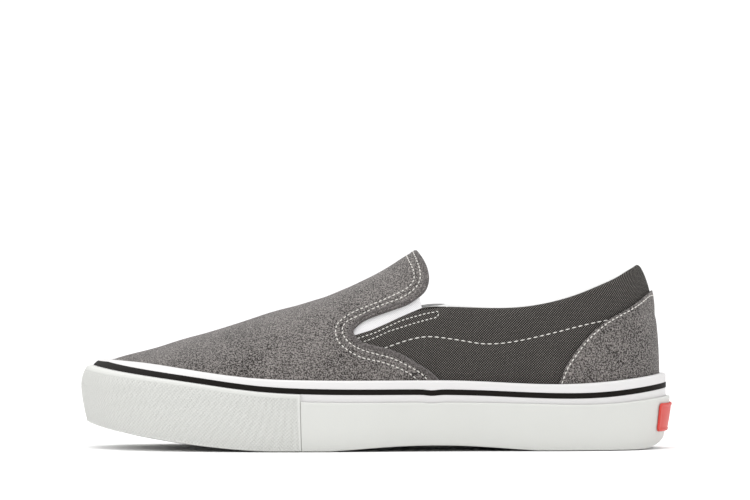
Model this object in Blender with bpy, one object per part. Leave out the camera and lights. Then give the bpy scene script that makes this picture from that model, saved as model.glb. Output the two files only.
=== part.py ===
# Slip-on sneaker, left shoe, standing empty on its sole.
# Metres, +Z up. Toe at -X, heel at +X, outer side of the foot at -Y.
# The origin is under the middle of the shoe, on the floor.
import math
from collections import namedtuple

import bmesh
import bpy
import numpy as np

# Sole sizes
SOLE_LENGTH = 0.289          # over the toe bumper and the heel tape
HALF_BALL_WIDTH = 0.0535     # centre line to the outer side of the ball
TOE_SPRING = 0.0122          # height of the sole's tip above the floor
ARCH_RISE = 0.0027           # height of the sole's waist above the floor
HEEL_ROLL = 0.0050           # height that the heel's back edge rounds up
SIDE_LEAN = 0.0034           # how far the sole's side draws in at its foot
SIDEWALL_HEIGHT = 0.0346     # top of the white band at the waist
FOREFOOT_THICKNESS = 0.0080  # outsole under the ball
HEEL_THICKNESS = 0.0135      # outsole under the heel
FOXING_THICKNESS = 0.0042    # the wide rubber strip round the upper
TAPE_THICKNESS = 0.0017      # the lower strip over it, and the toe bumper
TAPE_LIFT = 0.0004           # strips end this far above the outsole's tread
STRIPE_HEIGHT = 0.0027
STRIPE_DEPTH = 0.0008        # groove that the stripe lies in
STRIPE_PROUD = 0.0001
BAND_CHAMFER = 0.0011        # rounded outer corner at the band's top
BUMPER_END = 0.107           # length of the toe bumper from the tip
TAB_THICKNESS = 0.0009
TAB_HEIGHT = 0.0138
TAB_FOOT = 0.0088            # lower edge of the tab above the floor
TAB_HALF_WIDTH = 0.015
GROOVE_WIDTH = 0.0028
GROOVE_DEPTH = 0.0016
GROOVE_PITCH = 0.0085
GROOVE_MARGIN = 0.011        # plain rim left beside the grooves
INSOLE_THICKNESS = 0.0045

# Upper sizes
COLLAR_HEIGHT = 0.0700       # lowest part of the collar
TONGUE_RISE = 0.0270         # top of the tongue above that
HEEL_COLLAR_HEIGHT = 0.0902  # collar at the back of the heel
WALL = 0.0022                # canvas, foam and lining
COLLAR_PAD = 0.0034          # extra padding below the collar's edge
PAD_HEIGHT = 0.020           # from the edge to the stitch line
PAD_BULGE = 0.0010           # outward swell of the padded collar
RIM_ROLL = 0.0012            # rounding of the collar's outer edge
RIM_HEIGHT = 0.0030
RIM_DROP = 0.0005            # how much the rounding lowers the rim's outer edge
COVER = 0.0011               # suede of the vamp and the heel counter
ELASTIC = 0.0010             # gore
GORE_DEPTH = 0.0004          # gore below the upper's outer face

GAP = 0.0003                 # between two glued or sewn pieces
SPINE_SHARE = 0.75           # length of the ribs' centre line over the sole's
WIDEST = 0.70                # height of the widest line, share of the band's top

HALF = SOLE_LENGTH / 2
SIDE_STACK = GAP + FOXING_THICKNESS + GAP + TAPE_THICKNESS
INSTEP_HEIGHT = COLLAR_HEIGHT + TONGUE_RISE
CUT_TOP = 1.3 * INSTEP_HEIGHT  # cutters reach well above the shoe

# Ribs: vertical cuts that fan from a centre line to the sole's outline. A rib is
# numbered by an angle: 0 at the toe, pi at the heel, the outer side in between.
FRONT_RIBS = 19
BACK_RIBS = 15
TONGUE_RIB_AT = 0.628        # first rib that lies wholly behind the tongue

# Sole outline: share of the length from the toe, half widths as shares of the
# half ball width. The toe's tip lies nearer the inner side.
Outline = namedtuple("Outline", "at outer inner")
OUTLINE = [
    Outline(0.000, -0.17, 0.17),
    Outline(0.015, 0.18, 0.50),
    Outline(0.060, 0.56, 0.77),
    Outline(0.130, 0.80, 0.92),
    Outline(0.230, 0.96, 1.00),
    Outline(0.340, 1.01, 0.96),
    Outline(0.460, 0.96, 0.80),
    Outline(0.580, 0.86, 0.71),
    Outline(0.700, 0.79, 0.71),
    Outline(0.820, 0.745, 0.71),
    Outline(0.920, 0.63, 0.60),
    Outline(0.980, 0.36, 0.34),
    Outline(1.000, 0.00, 0.00),
]

# Lines round the sole: heights as shares of the sidewall's height.
Side = namedtuple("Side", "at top stripe tape")
SIDES = [
    Side(0.00, 1.251, 1.214, 1.000),
    Side(0.10, 1.217, 1.105, 0.920),
    Side(0.20, 1.118, 0.996, 0.830),
    Side(0.30, 1.029, 0.890, 0.745),
    Side(0.38, 1.006, 0.852, 0.705),
    Side(0.55, 1.000, 0.838, 0.694),
    Side(0.66, 0.991, 0.829, 0.690),
    Side(0.80, 0.942, 0.783, 0.665),
    Side(0.90, 0.971, 0.795, 0.665),
    Side(1.00, 1.069, 0.905, 0.750),
]

# Ridge of the upper: 0 at the top of the sidewall, 1 at the instep. Behind the
# tongue it is closed over above the opening, and 1 is the back of the collar. Then
# how full a rib is, outwards and upwards.
Ridge = namedtuple("Ridge", "at rise outward upward")
RIDGES = [
    Ridge(0.00, 0.170, 2.40, 2.40),
    Ridge(0.07, 0.164, 2.40, 2.40),
    Ridge(0.12, 0.198, 2.35, 2.30),
    Ridge(0.17, 0.271, 2.30, 2.20),
    Ridge(0.24, 0.363, 2.20, 2.10),
    Ridge(0.34, 0.509, 2.05, 2.05),
    Ridge(0.41, 0.605, 2.00, 2.00),
    Ridge(0.475, 0.730, 2.00, 2.00),
    Ridge(0.52, 0.838, 2.00, 2.00),
    Ridge(0.569, 0.975, 2.10, 2.05),
    Ridge(0.64, 1.192, 2.50, 2.45),
    Ridge(0.75, 1.227, 2.75, 2.75),
    Ridge(0.87, 1.218, 2.70, 2.70),
    Ridge(1.00, 1.201, 2.60, 2.60),
]

# Collar: 0 at its lowest height, 1 at the back of the heel.
Collar = namedtuple("Collar", "at climb")
COLLARS = [
    Collar(0.600, 0.030),
    Collar(0.660, 0.009),
    Collar(0.715, -0.014),
    Collar(0.780, 0.041),
    Collar(0.820, 0.145),
    Collar(0.853, 0.264),
    Collar(0.914, 0.554),
    Collar(0.945, 0.709),
    Collar(0.975, 0.880),
    Collar(1.000, 1.000),
]
FRONT_ROW = 0.542            # the collar's row, carried on over the vamp

# Lines of the side view. Lengths are shares of the sole's length. Heights are 0 at
# the top of the sidewall, 1 at the lowest part of the collar and 2 at the instep. For
# the counter's edge 1 is the back of the collar.
Spot = namedtuple("Spot", "at up")
TONGUE_EDGE = [
    Spot(0.5697, 2.012), Spot(0.5762, 1.924), Spot(0.5828, 1.799),
    Spot(0.5874, 1.663), Spot(0.5890, 1.535), Spot(0.5872, 1.418),
    Spot(0.5828, 1.314), Spot(0.5734, 1.217), Spot(0.5600, 1.108),
    Spot(0.5330, 0.991), Spot(0.5062, 0.917), Spot(0.4810, 0.837),
    Spot(0.4670, 0.749), Spot(0.4624, 0.665),
]
QUARTER_EDGE = [
    Spot(0.4662, 0.617), Spot(0.4934, 0.683), Spot(0.5200, 0.776),
    Spot(0.5400, 0.853), Spot(0.5600, 0.924), Spot(0.5786, 0.985),
    Spot(0.5900, 1.001), Spot(0.6020, 1.007),
]
WING_EDGE = [
    Spot(0.4624, 0.665), Spot(0.4690, 0.573), Spot(0.4803, 0.516),
    Spot(0.5062, 0.462), Spot(0.5334, 0.398), Spot(0.5593, 0.291),
    Spot(0.5852, 0.155), Spot(0.6069, 0.007), Spot(0.6200, -0.155),
]
COUNTER_EDGE = [
    Spot(0.8020, -0.134), Spot(0.8103, -0.020), Spot(0.8217, 0.124),
    Spot(0.8348, 0.226), Spot(0.8510, 0.334), Spot(0.8703, 0.435),
    Spot(0.8897, 0.513), Spot(0.9124, 0.580), Spot(0.9383, 0.655),
    Spot(0.9607, 0.740), Spot(1.0200, 0.930),
]

# Rows of an upper rib below the collar's row, as shares of the padding's height.
PAD_ROWS = (1.0, 0.62, 0.30, 0.08, 0.0)
TOP_ROWS = 4                 # from the collar's row to the ridge
RIB_STEPS = 64               # points that a rib is measured on
LOWER_PART = 0.2             # share of a rib's count that lies below the widest line

SUEDE = (0.185, 0.175, 0.170)
CANVAS = (0.140, 0.135, 0.128)
WHITE_RUBBER = (0.80, 0.80, 0.77)
BLACK_RUBBER = (0.020, 0.017, 0.015)
WHITE_CLOTH = (0.82, 0.82, 0.80)
RED_RUBBER = (0.62, 0.06, 0.045)


def clear_scene():
    for thing in list(bpy.data.objects):
        bpy.data.objects.remove(thing, do_unlink=True)


def spline(xs, ys, period=None):
    """Smooth curve through the points; natural ends, or closed over a period."""
    xs = np.array(xs, float)
    ys = np.array(ys, float)
    if period:
        xs = np.append(xs, xs[0] + period)
        ys = np.append(ys, ys[0])
    step = np.diff(xs)
    rise = np.diff(ys) / step
    count = len(xs)
    system = np.zeros((count, count))
    right = np.zeros(count)
    for i in range(1, count - 1):
        system[i, i - 1:i + 2] = step[i - 1], 2 * (step[i - 1] + step[i]), step[i]
        right[i] = 6 * (rise[i] - rise[i - 1])
    if period:
        system[0, 0], system[0, -1] = 1, -1
        system[-1, :2] = 2 * step[0], step[0]
        system[-1, -2:] += step[-1], 2 * step[-1]
        right[-1] = 6 * (rise[0] - rise[-1])
    else:
        system[0, 0] = system[-1, -1] = 1
    bend = np.linalg.solve(system, right)

    def value(x):
        x = np.asarray(x, float)
        if period:
            x = (x - xs[0]) % period + xs[0]
        x = np.clip(x, xs[0], xs[-1])
        i = np.clip(np.searchsorted(xs, x) - 1, 0, count - 2)
        a = (xs[i + 1] - x) / step[i]
        b = 1 - a
        sag = ((a ** 3 - a) * bend[i] + (b ** 3 - b) * bend[i + 1]) * step[i] ** 2 / 6
        return a * ys[i] + b * ys[i + 1] + sag

    return value


def along(share):
    """X of a share of the sole's length."""
    return SOLE_LENGTH * np.asarray(share) - HALF


def table_curve(table, column, unit):
    """Curve over X of one column of a table whose lengths are shares of a size."""
    return spline([along(row.at) for row in table],
                  [unit * getattr(row, column) for row in table])


def outline_curve():
    angle = [math.acos(1 - 2 * row.at) for row in OUTLINE]
    outer = [-HALF_BALL_WIDTH * row.outer for row in OUTLINE]
    inner = [HALF_BALL_WIDTH * row.inner for row in OUTLINE]
    angles = angle + [2 * math.pi - a for a in angle[-2:0:-1]]
    return spline(angles, outer + inner[-2:0:-1], period=2 * math.pi)


def ridge_curve():
    rises = []
    for row in RIDGES:
        full = HEEL_COLLAR_HEIGHT if row.at > TONGUE_RIB_AT else INSTEP_HEIGHT
        rises.append(row.rise * (full - SIDEWALL_HEIGHT))
    return spline([along(row.at) for row in RIDGES], rises)


outline_y = outline_curve()
band_top = table_curve(SIDES, "top", SIDEWALL_HEIGHT)
stripe_middle = table_curve(SIDES, "stripe", SIDEWALL_HEIGHT)
tape_top = table_curve(SIDES, "tape", SIDEWALL_HEIGHT)
ridge_rise = ridge_curve()
ridge_outward = table_curve(RIDGES, "outward", 1)
ridge_upward = table_curve(RIDGES, "upward", 1)
collar_climb = table_curve(COLLARS, "climb", 1)

ROLL_START = along(0.320)    # in front of here the sole springs up to the toe
BALL_END = along(0.418)      # the forefoot's flat spot ends here
HEEL_START = along(0.790)    # the heel's flat spot starts here
HEEL_END = along(0.945)


def bottom_height(x):
    """The sole's underside: toe spring, flat ball, arch, flat heel, rolled back."""
    x = np.asarray(x, float)
    toe = np.clip((ROLL_START - x) / (ROLL_START + HALF), 0, None)
    arch = np.clip((x - BALL_END) / (HEEL_START - BALL_END), 0, 1)
    back = np.clip((x - HEEL_END) / (HALF - HEEL_END), 0, None)
    return (TOE_SPRING * toe ** 1.6
            + ARCH_RISE * np.sin(math.pi * arch) ** 1.2
            + HEEL_ROLL * back ** 3)


def bed_height(x):
    """Top of the outsole, which the upper and the insole stand on."""
    back = np.clip((np.asarray(x, float) + HALF * 0.5) / (HALF * 1.1), 0, 1)
    ease = back * back * (3 - 2 * back)
    thickness = FOREFOOT_THICKNESS + (HEEL_THICKNESS - FOREFOOT_THICKNESS) * ease
    return bottom_height(np.clip(x, -HALF, HEEL_END)) + thickness


def shoulder_height(x):
    """Between the widest line and the top of the white band."""
    return float(band_top(x)) * (WIDEST + 0.6 * (1 - WIDEST))


def ridge_height(x):
    return SIDEWALL_HEIGHT + ridge_rise(x)


def collar_height(x):
    return COLLAR_HEIGHT + (HEEL_COLLAR_HEIGHT - COLLAR_HEIGHT) * collar_climb(x)


def row_height(x):
    """Height of the collar's row: the collar itself, and its run over the vamp."""
    over_vamp = band_top(x) + FRONT_ROW * (ridge_height(x) - band_top(x))
    return np.where(x < along(TONGUE_RIB_AT), over_vamp, collar_height(x))


def form(angle, count):
    """Point of the last's surface. The count runs from 0 at the sole's foot to 1 at
    the ridge, and past 1 down the other side."""
    angle, count = np.broadcast_arrays(np.asarray(angle, float), count)
    over = count > 1
    angle = np.where(over, -angle, angle)
    count = np.where(over, 2 - count, count)
    edge_x = -HALF * np.cos(angle)
    edge_y = outline_y(angle)
    spine_x = SPINE_SHARE * edge_x
    spine_y = toe_lean(spine_x)
    reach = np.hypot(edge_x - spine_x, edge_y - spine_y)
    out_x = (edge_x - spine_x) / reach
    out_y = (edge_y - spine_y) / reach
    foot = bottom_height(edge_x)
    wide = WIDEST * band_top(edge_x)
    low = np.clip(1 - count / LOWER_PART, 0, 1)
    turn = np.clip((count - LOWER_PART) / (1 - LOWER_PART), 0, 1) * math.pi / 2
    outward = np.clip(np.cos(turn), 0, 1) ** (2 / ridge_outward(spine_x))
    radius = (reach - SIDE_STACK) * outward - SIDE_LEAN * low ** 1.5
    x = spine_x + out_x * radius
    y = spine_y + out_y * radius
    upward = np.clip(np.sin(turn), 0, 1) ** (2 / ridge_upward(spine_x))
    z = wide - (wide - foot) * low + (ridge_height(x) - wide) * upward
    return np.stack([x, y, z], axis=-1)


def toe_lean(x):
    """Y of the centre line: it drifts inwards over the toes."""
    front = np.clip((along(0.55) - np.asarray(x, float)) / (0.55 * SOLE_LENGTH), 0, 1)
    return 0.17 * HALF_BALL_WIDTH * front * front * (3 - 2 * front)


ribs = {}


def rib(angle):
    """Points of one rib from the sole's foot to the ridge, and their normals."""
    key = round(float(angle), 6)
    if key not in ribs:
        counts = np.linspace(0, 1, RIB_STEPS + 1)
        nudge = 1e-3
        spot = form(angle, counts)
        turned = angle if abs(math.sin(angle)) > 0.01 else angle + 0.01
        side = form(turned + nudge, counts) - form(turned - nudge, counts)
        rise = form(turned, counts + nudge) - form(turned, np.maximum(counts - nudge, 0))
        if turned != angle:
            other = form(-turned - nudge, counts) - form(-turned + nudge, counts)
            up = form(-turned, counts + nudge) - form(-turned, np.maximum(counts - nudge, 0))
            normal = np.cross(side, rise)
            mirror = np.cross(-other, up)
            normal /= np.linalg.norm(normal, axis=1)[:, None]
            mirror /= np.linalg.norm(mirror, axis=1)[:, None]
            normal = normal + mirror
        else:
            normal = np.cross(side, rise)
        normal /= np.linalg.norm(normal, axis=1)[:, None]
        ribs[key] = spot, normal
    return ribs[key]


def at_height(angle, offset, height):
    """Point at this height on the surface that lies outside the last by the offset."""
    spot, normal = rib(angle)
    skin = spot + normal * offset
    last = int(np.argmax(skin[:, 2])) + 1
    levels = skin[:last, 2]
    return np.array([np.interp(height, levels, skin[:last, axis]) for axis in (0, 1)]
                    + [height])


def rib_angles():
    middle = math.acos(1 - 2 * TONGUE_RIB_AT)
    front = np.linspace(0, middle, FRONT_RIBS + 1)
    back = np.linspace(middle, math.pi, BACK_RIBS + 1)
    return np.concatenate([front, back[1:]])


ANGLES = rib_angles()


def edge_x(angle):
    return -HALF * math.cos(angle)


def smooth_step(value, low, high):
    share = min(max((value - low) / (high - low), 0), 1)
    return share * share * (3 - 2 * share)


def collar_offsets(x, depth):
    """Outward swell and inward padding, this far below the collar's edge."""
    padded = smooth_step(x, along(0.50), along(0.60))
    share = min(max(depth / PAD_HEIGHT, 0), 1)
    swell = math.sin(math.pi * share ** 0.6) * padded
    roll = (1 - min(depth / RIM_HEIGHT, 1)) * padded if depth >= 0 else 0
    return PAD_BULGE * swell - RIM_ROLL * (1 - math.sqrt(1 - roll * roll)), COLLAR_PAD * swell


def half_rib(angle, outer, inner):
    """Rows of the upper on one side: points outside and inside, sole to ridge. The
    wall itself, which starts at the last's surface, is the one that is padded."""
    spot, normal = rib(angle)
    x = edge_x(angle)
    foot = float(bed_height(x)) + GAP
    band = float(band_top(x))
    row = float(row_height(x))
    pad = min(PAD_HEIGHT, 0.7 * (row - band))
    levels = [foot, WIDEST * band, shoulder_height(x), band, (band + row - pad) / 2]
    levels += [row - pad * share for share in PAD_ROWS]
    order = np.arange(len(spot))
    peak = int(np.argmax(spot[:, 2])) + 1
    places = list(np.interp(levels, spot[:peak, 2], order[:peak]))
    length = np.concatenate([[0], np.cumsum(np.linalg.norm(np.diff(spot, axis=0), axis=1))])
    start = np.interp(places[-1], order, length)
    shares = np.linspace(0, 1, TOP_ROWS + 1)[1:]
    places += list(np.interp(start + (length[-1] - start) * shares, length, order))
    rows = []
    for place in places:
        point = np.array([np.interp(place, order, spot[:, k]) for k in range(3)])
        facing = np.array([np.interp(place, order, normal[:, k]) for k in range(3)])
        facing /= np.linalg.norm(facing)
        bulge, padding = collar_offsets(point[0], row - point[2])
        back = inner - padding if outer == 0 else inner + bulge
        rows.append((point + facing * (outer + bulge), point + facing * back))
    return rows


def upper_grid(outer, inner):
    """Points [rib][row][side of the wall] from the outer sole edge over the ridge."""
    grid = []
    for angle in ANGLES:
        left = half_rib(angle, outer, inner)
        right = half_rib(-angle, outer, inner)
        top = [(a + b) / 2 for a, b in zip(left[-1], right[-1])]
        grid.append(left[:-1] + [top] + right[-2::-1])
    return np.array(grid)


SIDE_ROWS = 5 + len(PAD_ROWS)
HALF_ROWS = SIDE_ROWS + TOP_ROWS
COLLAR_ROW = SIDE_ROWS - 1


def material(name, colour, roughness):
    made = bpy.data.materials.new(name)
    made.use_nodes = True
    shader = made.node_tree.nodes["Principled BSDF"]
    shader.inputs["Base Color"].default_value = (*colour, 1)
    shader.inputs["Roughness"].default_value = roughness
    shader.inputs["Metallic"].default_value = 0
    return made


def add_object(name, shape, finish=None):
    """Joins doubled points, turns the faces out and puts the mesh in the scene."""
    bmesh.ops.remove_doubles(shape, verts=shape.verts, dist=1e-6)
    bmesh.ops.recalc_face_normals(shape, faces=shape.faces)
    mesh = bpy.data.meshes.new(name)
    shape.to_mesh(mesh)
    shape.free()
    made = bpy.data.objects.new(name, mesh)
    bpy.context.scene.collection.objects.link(made)
    if finish:
        mesh.materials.append(finish)
        mesh.shade_smooth()
        mesh.set_sharp_from_angle(angle=math.radians(35))
    return made


def split_face(shape, a, b, c, d):
    """Two triangles with their common edge from a to c."""
    shape.faces.new((a, b, c))
    shape.faces.new((a, c, d))


def shell(name, grid, keep, finish):
    """Closed wall over the cells of the grid that are kept."""
    shape = bmesh.new()
    points = {}

    def vertex(i, j, side):
        if (i, j, side) not in points:
            points[i, j, side] = shape.verts.new(grid[i, j, side])
        return points[i, j, side]

    cells = {(i, j) for i in range(grid.shape[0] - 1) for j in range(grid.shape[1] - 1)
             if keep(i, j)}
    last_row = grid.shape[1] - 1
    ends = (0, grid.shape[0] - 1)
    for i, j in sorted(cells):
        corners = ((i, j), (i + 1, j), (i + 1, j + 1), (i, j + 1))
        split_face(shape, *[vertex(*c, 0) for c in corners])
        split_face(shape, *[vertex(*c, 1) for c in corners])
        beside = ((i, j - 1), (i + 1, j), (i, j + 1), (i - 1, j))
        for k, cell in enumerate(beside):
            a, b = corners[k], corners[(k + 1) % 4]
            folded = k in (1, 3) and a[0] in ends and (i, last_row - 1 - j) in cells
            if cell not in cells and not folded:
                shape.faces.new([vertex(*b, 0), vertex(*a, 0), vertex(*a, 1), vertex(*b, 1)])
    return add_object(name, shape, finish)


def loft(name, sections, finish, closed):
    """Closed solid through sections with the same number of corners."""
    shape = bmesh.new()
    rings = [[shape.verts.new(point) for point in section] for section in sections]
    count = len(rings[0])
    pairs = list(zip(rings, rings[1:] + rings[:1])) if closed else list(zip(rings, rings[1:]))
    for here, there in pairs:
        for k in range(count):
            n = (k + 1) % count
            split_face(shape, here[n], there[n], there[k], here[k])
    if not closed:
        shape.faces.new(rings[0])
        shape.faces.new(rings[-1])
    bmesh.ops.triangulate(shape, faces=[f for f in shape.faces if len(f.verts) > 4])
    return add_object(name, shape, finish)


def slab(name, under, over, edge, finish):
    """Closed plate across the shoe. The edge gives a rib's corners, foot to top."""
    shape = bmesh.new()
    steps = 3

    def half(angle):
        rim = edge(angle)
        spine_x = SPINE_SHARE * edge_x(angle)
        middle = np.array([spine_x, float(toe_lean(spine_x)), 0])
        low, high = [], []
        for k in range(steps):
            share = k / steps
            for row, corner, height in ((low, rim[0], under), (high, rim[-1], over)):
                point = corner + (middle - corner) * share
                point[2] = corner[2] if k == 0 else float(height(point[0]))
                row.append(point)
        centre = [np.array([middle[0], middle[1], float(height(middle[0]))])
                  for height in (under, over)]
        return rim, low + [centre[0]], high + [centre[1]]

    sections = []
    for angle in ANGLES:
        outer, inner = half(angle), half(-angle)
        loop = outer[1][::-1] + outer[0][1:-1] + outer[2]
        back = inner[1][::-1] + inner[0][1:-1] + inner[2]
        sections.append([[shape.verts.new(p) for p in side] for side in (loop, back)])
    for here, there in zip(sections, sections[1:]):
        for side in (0, 1):
            for k in range(len(here[side]) - 1):
                corners = [here[side][k], here[side][k + 1], there[side][k + 1], there[side][k]]
                shape.faces.new(corners if side == 0 else corners[::-1])
    return add_object(name, shape, finish)


def prism(name, outline):
    """Cutter across the shoe from a side view outline of (x, z)."""
    shape = bmesh.new()
    reach = 2 * HALF_BALL_WIDTH
    near = [shape.verts.new((x, -reach, z)) for x, z in outline]
    face = shape.faces.new(near)
    swept = bmesh.ops.extrude_face_region(shape, geom=[face])
    for item in swept["geom"]:
        if isinstance(item, bmesh.types.BMVert):
            item.co.y = reach
    bmesh.ops.triangulate(shape, faces=[f for f in shape.faces if len(f.verts) > 4])
    return helper(add_object(name, shape))


def helper(cutter):
    cutter.hide_render = True
    cutter.display_type = "WIRE"
    return cutter


def cut(target, cutter, operation="DIFFERENCE"):
    modifier = target.modifiers.new(cutter.name, "BOOLEAN")
    modifier.operation = operation
    modifier.object = cutter
    modifier.solver = "EXACT"


def place(spots, heights):
    """Side view line as (x, z). The spots' heights count along the list of heights."""
    line = []
    for spot in spots:
        k = min(max(int(math.floor(spot.up)), 0), len(heights) - 2)
        z = heights[k] + (spot.up - k) * (heights[k + 1] - heights[k])
        line.append((float(along(spot.at)), z))
    return line


FRONT_HEIGHTS = (SIDEWALL_HEIGHT, COLLAR_HEIGHT, INSTEP_HEIGHT)
BACK_HEIGHTS = (SIDEWALL_HEIGHT, HEEL_COLLAR_HEIGHT)
tongue_line = place(TONGUE_EDGE, FRONT_HEIGHTS)
wing_line = place(WING_EDGE, FRONT_HEIGHTS)
quarter_line = place(QUARTER_EDGE, FRONT_HEIGHTS)
counter_line = place(COUNTER_EDGE, BACK_HEIGHTS)


def moved(points, shift):
    """The polyline set off to its left by a distance."""
    out = []
    for k, (x, z) in enumerate(points):
        ahead = points[min(k + 1, len(points) - 1)]
        behind = points[max(k - 1, 0)]
        dx, dz = ahead[0] - behind[0], ahead[1] - behind[1]
        length = math.hypot(dx, dz)
        out.append((x - dz / length * shift, z + dx / length * shift))
    return out


def loop_angles(low, high, steps):
    return np.linspace(low, high, steps + 1)


RING = list(ANGLES) + [2 * math.pi - a for a in ANGLES[-2:0:-1]]


def make_outsole(rubber):
    def edge(angle):
        x = edge_x(angle)
        foot, bed = float(bottom_height(x)), float(bed_height(x))
        return [at_height(angle, 0, foot), at_height(angle, 0, bed)]

    sole = slab("outsole", bottom_height, bed_height, edge, rubber)
    cut(sole, tread_cutter())
    return sole


def tread_cutter():
    """Cross grooves between the lugs. The ball and the heel keep a plain spot."""
    shape = bmesh.new()
    stretches = ((along(0.09), ROLL_START), (along(0.43), along(0.56)),
                 (along(0.68), HEEL_START), (along(0.87), along(0.935)))
    for start, end in stretches:
        count = int((end - start) / GROOVE_PITCH)
        for k in range(count):
            x = start + (k + 0.5) * GROOVE_PITCH
            angle = math.acos(-x / HALF)
            z = float(bottom_height(x))
            slope = float(bottom_height(x + 0.001) - bottom_height(x - 0.001)) / 0.002
            ends = [float(outline_y(angle)) + SIDE_STACK + SIDE_LEAN + GROOVE_MARGIN,
                    float(outline_y(-angle)) - SIDE_STACK - SIDE_LEAN - GROOVE_MARGIN]
            made = bmesh.ops.create_cube(shape, size=1)["verts"]
            for corner in made:
                across = GROOVE_WIDTH * corner.co.x
                depth = GROOVE_DEPTH if corner.co.z > 0 else -GROOVE_DEPTH
                corner.co = (x + across - slope * depth, ends[int(corner.co.y > 0)],
                             z + depth + slope * across)
    return helper(add_object("tread_grooves", shape))


def make_strips(white, black, red):
    out = GAP + FOXING_THICKNESS
    over = out + GAP
    outer_face = over + TAPE_THICKNESS

    def foot_levels(angle):
        x = edge_x(angle)
        return float(bottom_height(x)) + TAPE_LIFT, float(bed_height(x))

    def foxing_section(angle):
        x = edge_x(angle)
        foot, bed = foot_levels(angle)
        wide, top = WIDEST * float(band_top(x)), float(band_top(x))
        low = float(stripe_middle(x)) - STRIPE_HEIGHT / 2 - GAP
        high = min(low + STRIPE_HEIGHT + 2 * GAP, top - GAP)
        shoulder = high + 0.6 * (top - high)
        corners = [(GAP, foot), (out, foot), (out, bed), (out, wide), (out, low),
                   (out - STRIPE_DEPTH, low), (out - STRIPE_DEPTH, high), (out, high),
                   (out - BAND_CHAMFER, shoulder), (GAP, top), (GAP, shoulder_height(x)),
                  (GAP, wide), (GAP, bed)]
        return [at_height(angle, *corner) for corner in corners]

    def stripe_section(angle):
        x = edge_x(angle)
        low = float(stripe_middle(x)) - STRIPE_HEIGHT / 2
        high = min(low + STRIPE_HEIGHT, float(band_top(x)) - 2 * GAP)
        back, front = out - STRIPE_DEPTH + GAP, out + STRIPE_PROUD
        corners = [(back, low), (front, low), (front, high), (back, high)]
        return [at_height(angle, *corner) for corner in corners]

    def strip_section(angle, top):
        foot, bed = foot_levels(angle)
        wide = min(WIDEST * float(band_top(edge_x(angle))), top - GAP)
        corners = [(over, foot), (outer_face, foot), (outer_face, bed), (outer_face, wide),
                   (outer_face, top), (over, top), (over, wide), (over, bed)]
        return [at_height(angle, *corner) for corner in corners]

    def bumper_section(angle):
        x = edge_x(angle)
        return strip_section(angle, float(stripe_middle(x)) - STRIPE_HEIGHT / 2 - GAP)

    def tape_section(angle):
        return strip_section(angle, float(tape_top(edge_x(angle))))

    def tab_section(angle):
        low, high = outer_face + GAP, outer_face + GAP + TAB_THICKNESS
        head = TAB_FOOT + TAB_HEIGHT
        corners = [(low, TAB_FOOT), (high, TAB_FOOT), (high, head), (low, head)]
        return [at_height(angle, *corner) for corner in corners]

    loft("foxing", [foxing_section(a) for a in RING], white, True)
    loft("foxing_stripe", [stripe_section(a) for a in RING], black, True)
    end = math.acos(1 - 2 * BUMPER_END / SOLE_LENGTH)
    seam = GAP / (HALF * math.sin(end))
    loft("toe_bumper", [bumper_section(a) for a in loop_angles(-end, end, 26)], white, False)
    tape = loop_angles(end + seam, 2 * math.pi - end - seam, 32)
    loft("foxing_tape", [tape_section(a) for a in tape], white, False)
    half_tab = TAB_HALF_WIDTH / HALF_BALL_WIDTH
    tab = loop_angles(math.pi - half_tab, math.pi + half_tab, 10)
    loft("heel_tab", [tab_section(a) for a in tab], red, False)


def make_insole(cloth):
    def under(x):
        return bed_height(x) + GAP

    def over(x):
        return under(x) + INSOLE_THICKNESS

    def edge(angle):
        x = edge_x(angle)
        low, high = float(under(x)), float(over(x))
        return [at_height(angle, -WALL - GAP, low), at_height(angle, -WALL - GAP, high)]

    return slab("insole", under, over, edge, cloth)


def throat_outline():
    """Side view of what is cut away above the quarters and behind the tongue."""
    clear = float(along(TONGUE_RIB_AT)) + 2 * WALL
    rim = float(collar_height(clear)) - RIM_DROP
    return (tongue_line + quarter_line
            + [(clear, rim), (clear, CUT_TOP), (quarter_line[0][0], CUT_TOP)])


def make_upper(canvas):
    def keep(i, j):
        row = min(j, 2 * HALF_ROWS - 3 - j)
        return i < FRONT_RIBS or row < COLLAR_ROW

    upper = shell("upper", upper_grid(0, -WALL), keep, canvas)
    cut(upper, prism("throat", throat_outline()))
    return upper


def make_covers(suede):
    cover = upper_grid(GAP + COVER, GAP)

    def above_band(j):
        row = min(j, 2 * HALF_ROWS - 3 - j)
        return row >= 3

    def keep_vamp(i, j):
        return i < FRONT_RIBS and above_band(j)

    def keep_counter(i, j):
        row = min(j, 2 * HALF_ROWS - 3 - j)
        return i >= FRONT_RIBS and above_band(j) and row < COLLAR_ROW - 2

    behind = (tongue_line + wing_line[1:]
              + [(HALF, wing_line[-1][1]), (HALF, CUT_TOP), (tongue_line[0][0], CUT_TOP)])
    vamp = shell("vamp", cover, keep_vamp, suede)
    cut(vamp, prism("behind_vamp", behind))
    ahead = counter_line + [(counter_line[-1][0], CUT_TOP), (0, CUT_TOP),
                            (0, counter_line[0][1])]
    counter = shell("heel_counter", cover, keep_counter, suede)
    cut(counter, prism("ahead_of_counter", ahead))


def make_gores(cloth):
    grid = upper_grid(-GORE_DEPTH, -GORE_DEPTH - ELASTIC)
    top_edge = moved(tongue_line[7:], GAP)
    low_edge = moved(quarter_line[:6], GAP)
    slot = prism("gore_slot", top_edge + low_edge)
    for name, first in (("gore_lateral", True), ("gore_medial", False)):
        def keep(i, j, first=first):
            row = min(j, 2 * HALF_ROWS - 3 - j)
            near = j < HALF_ROWS - 1
            return FRONT_RIBS - 8 <= i < FRONT_RIBS and 5 <= row <= COLLAR_ROW + 3 and near == first

        gore = shell(name, grid, keep, cloth)
        cut(gore, slot, "INTERSECT")


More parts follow.
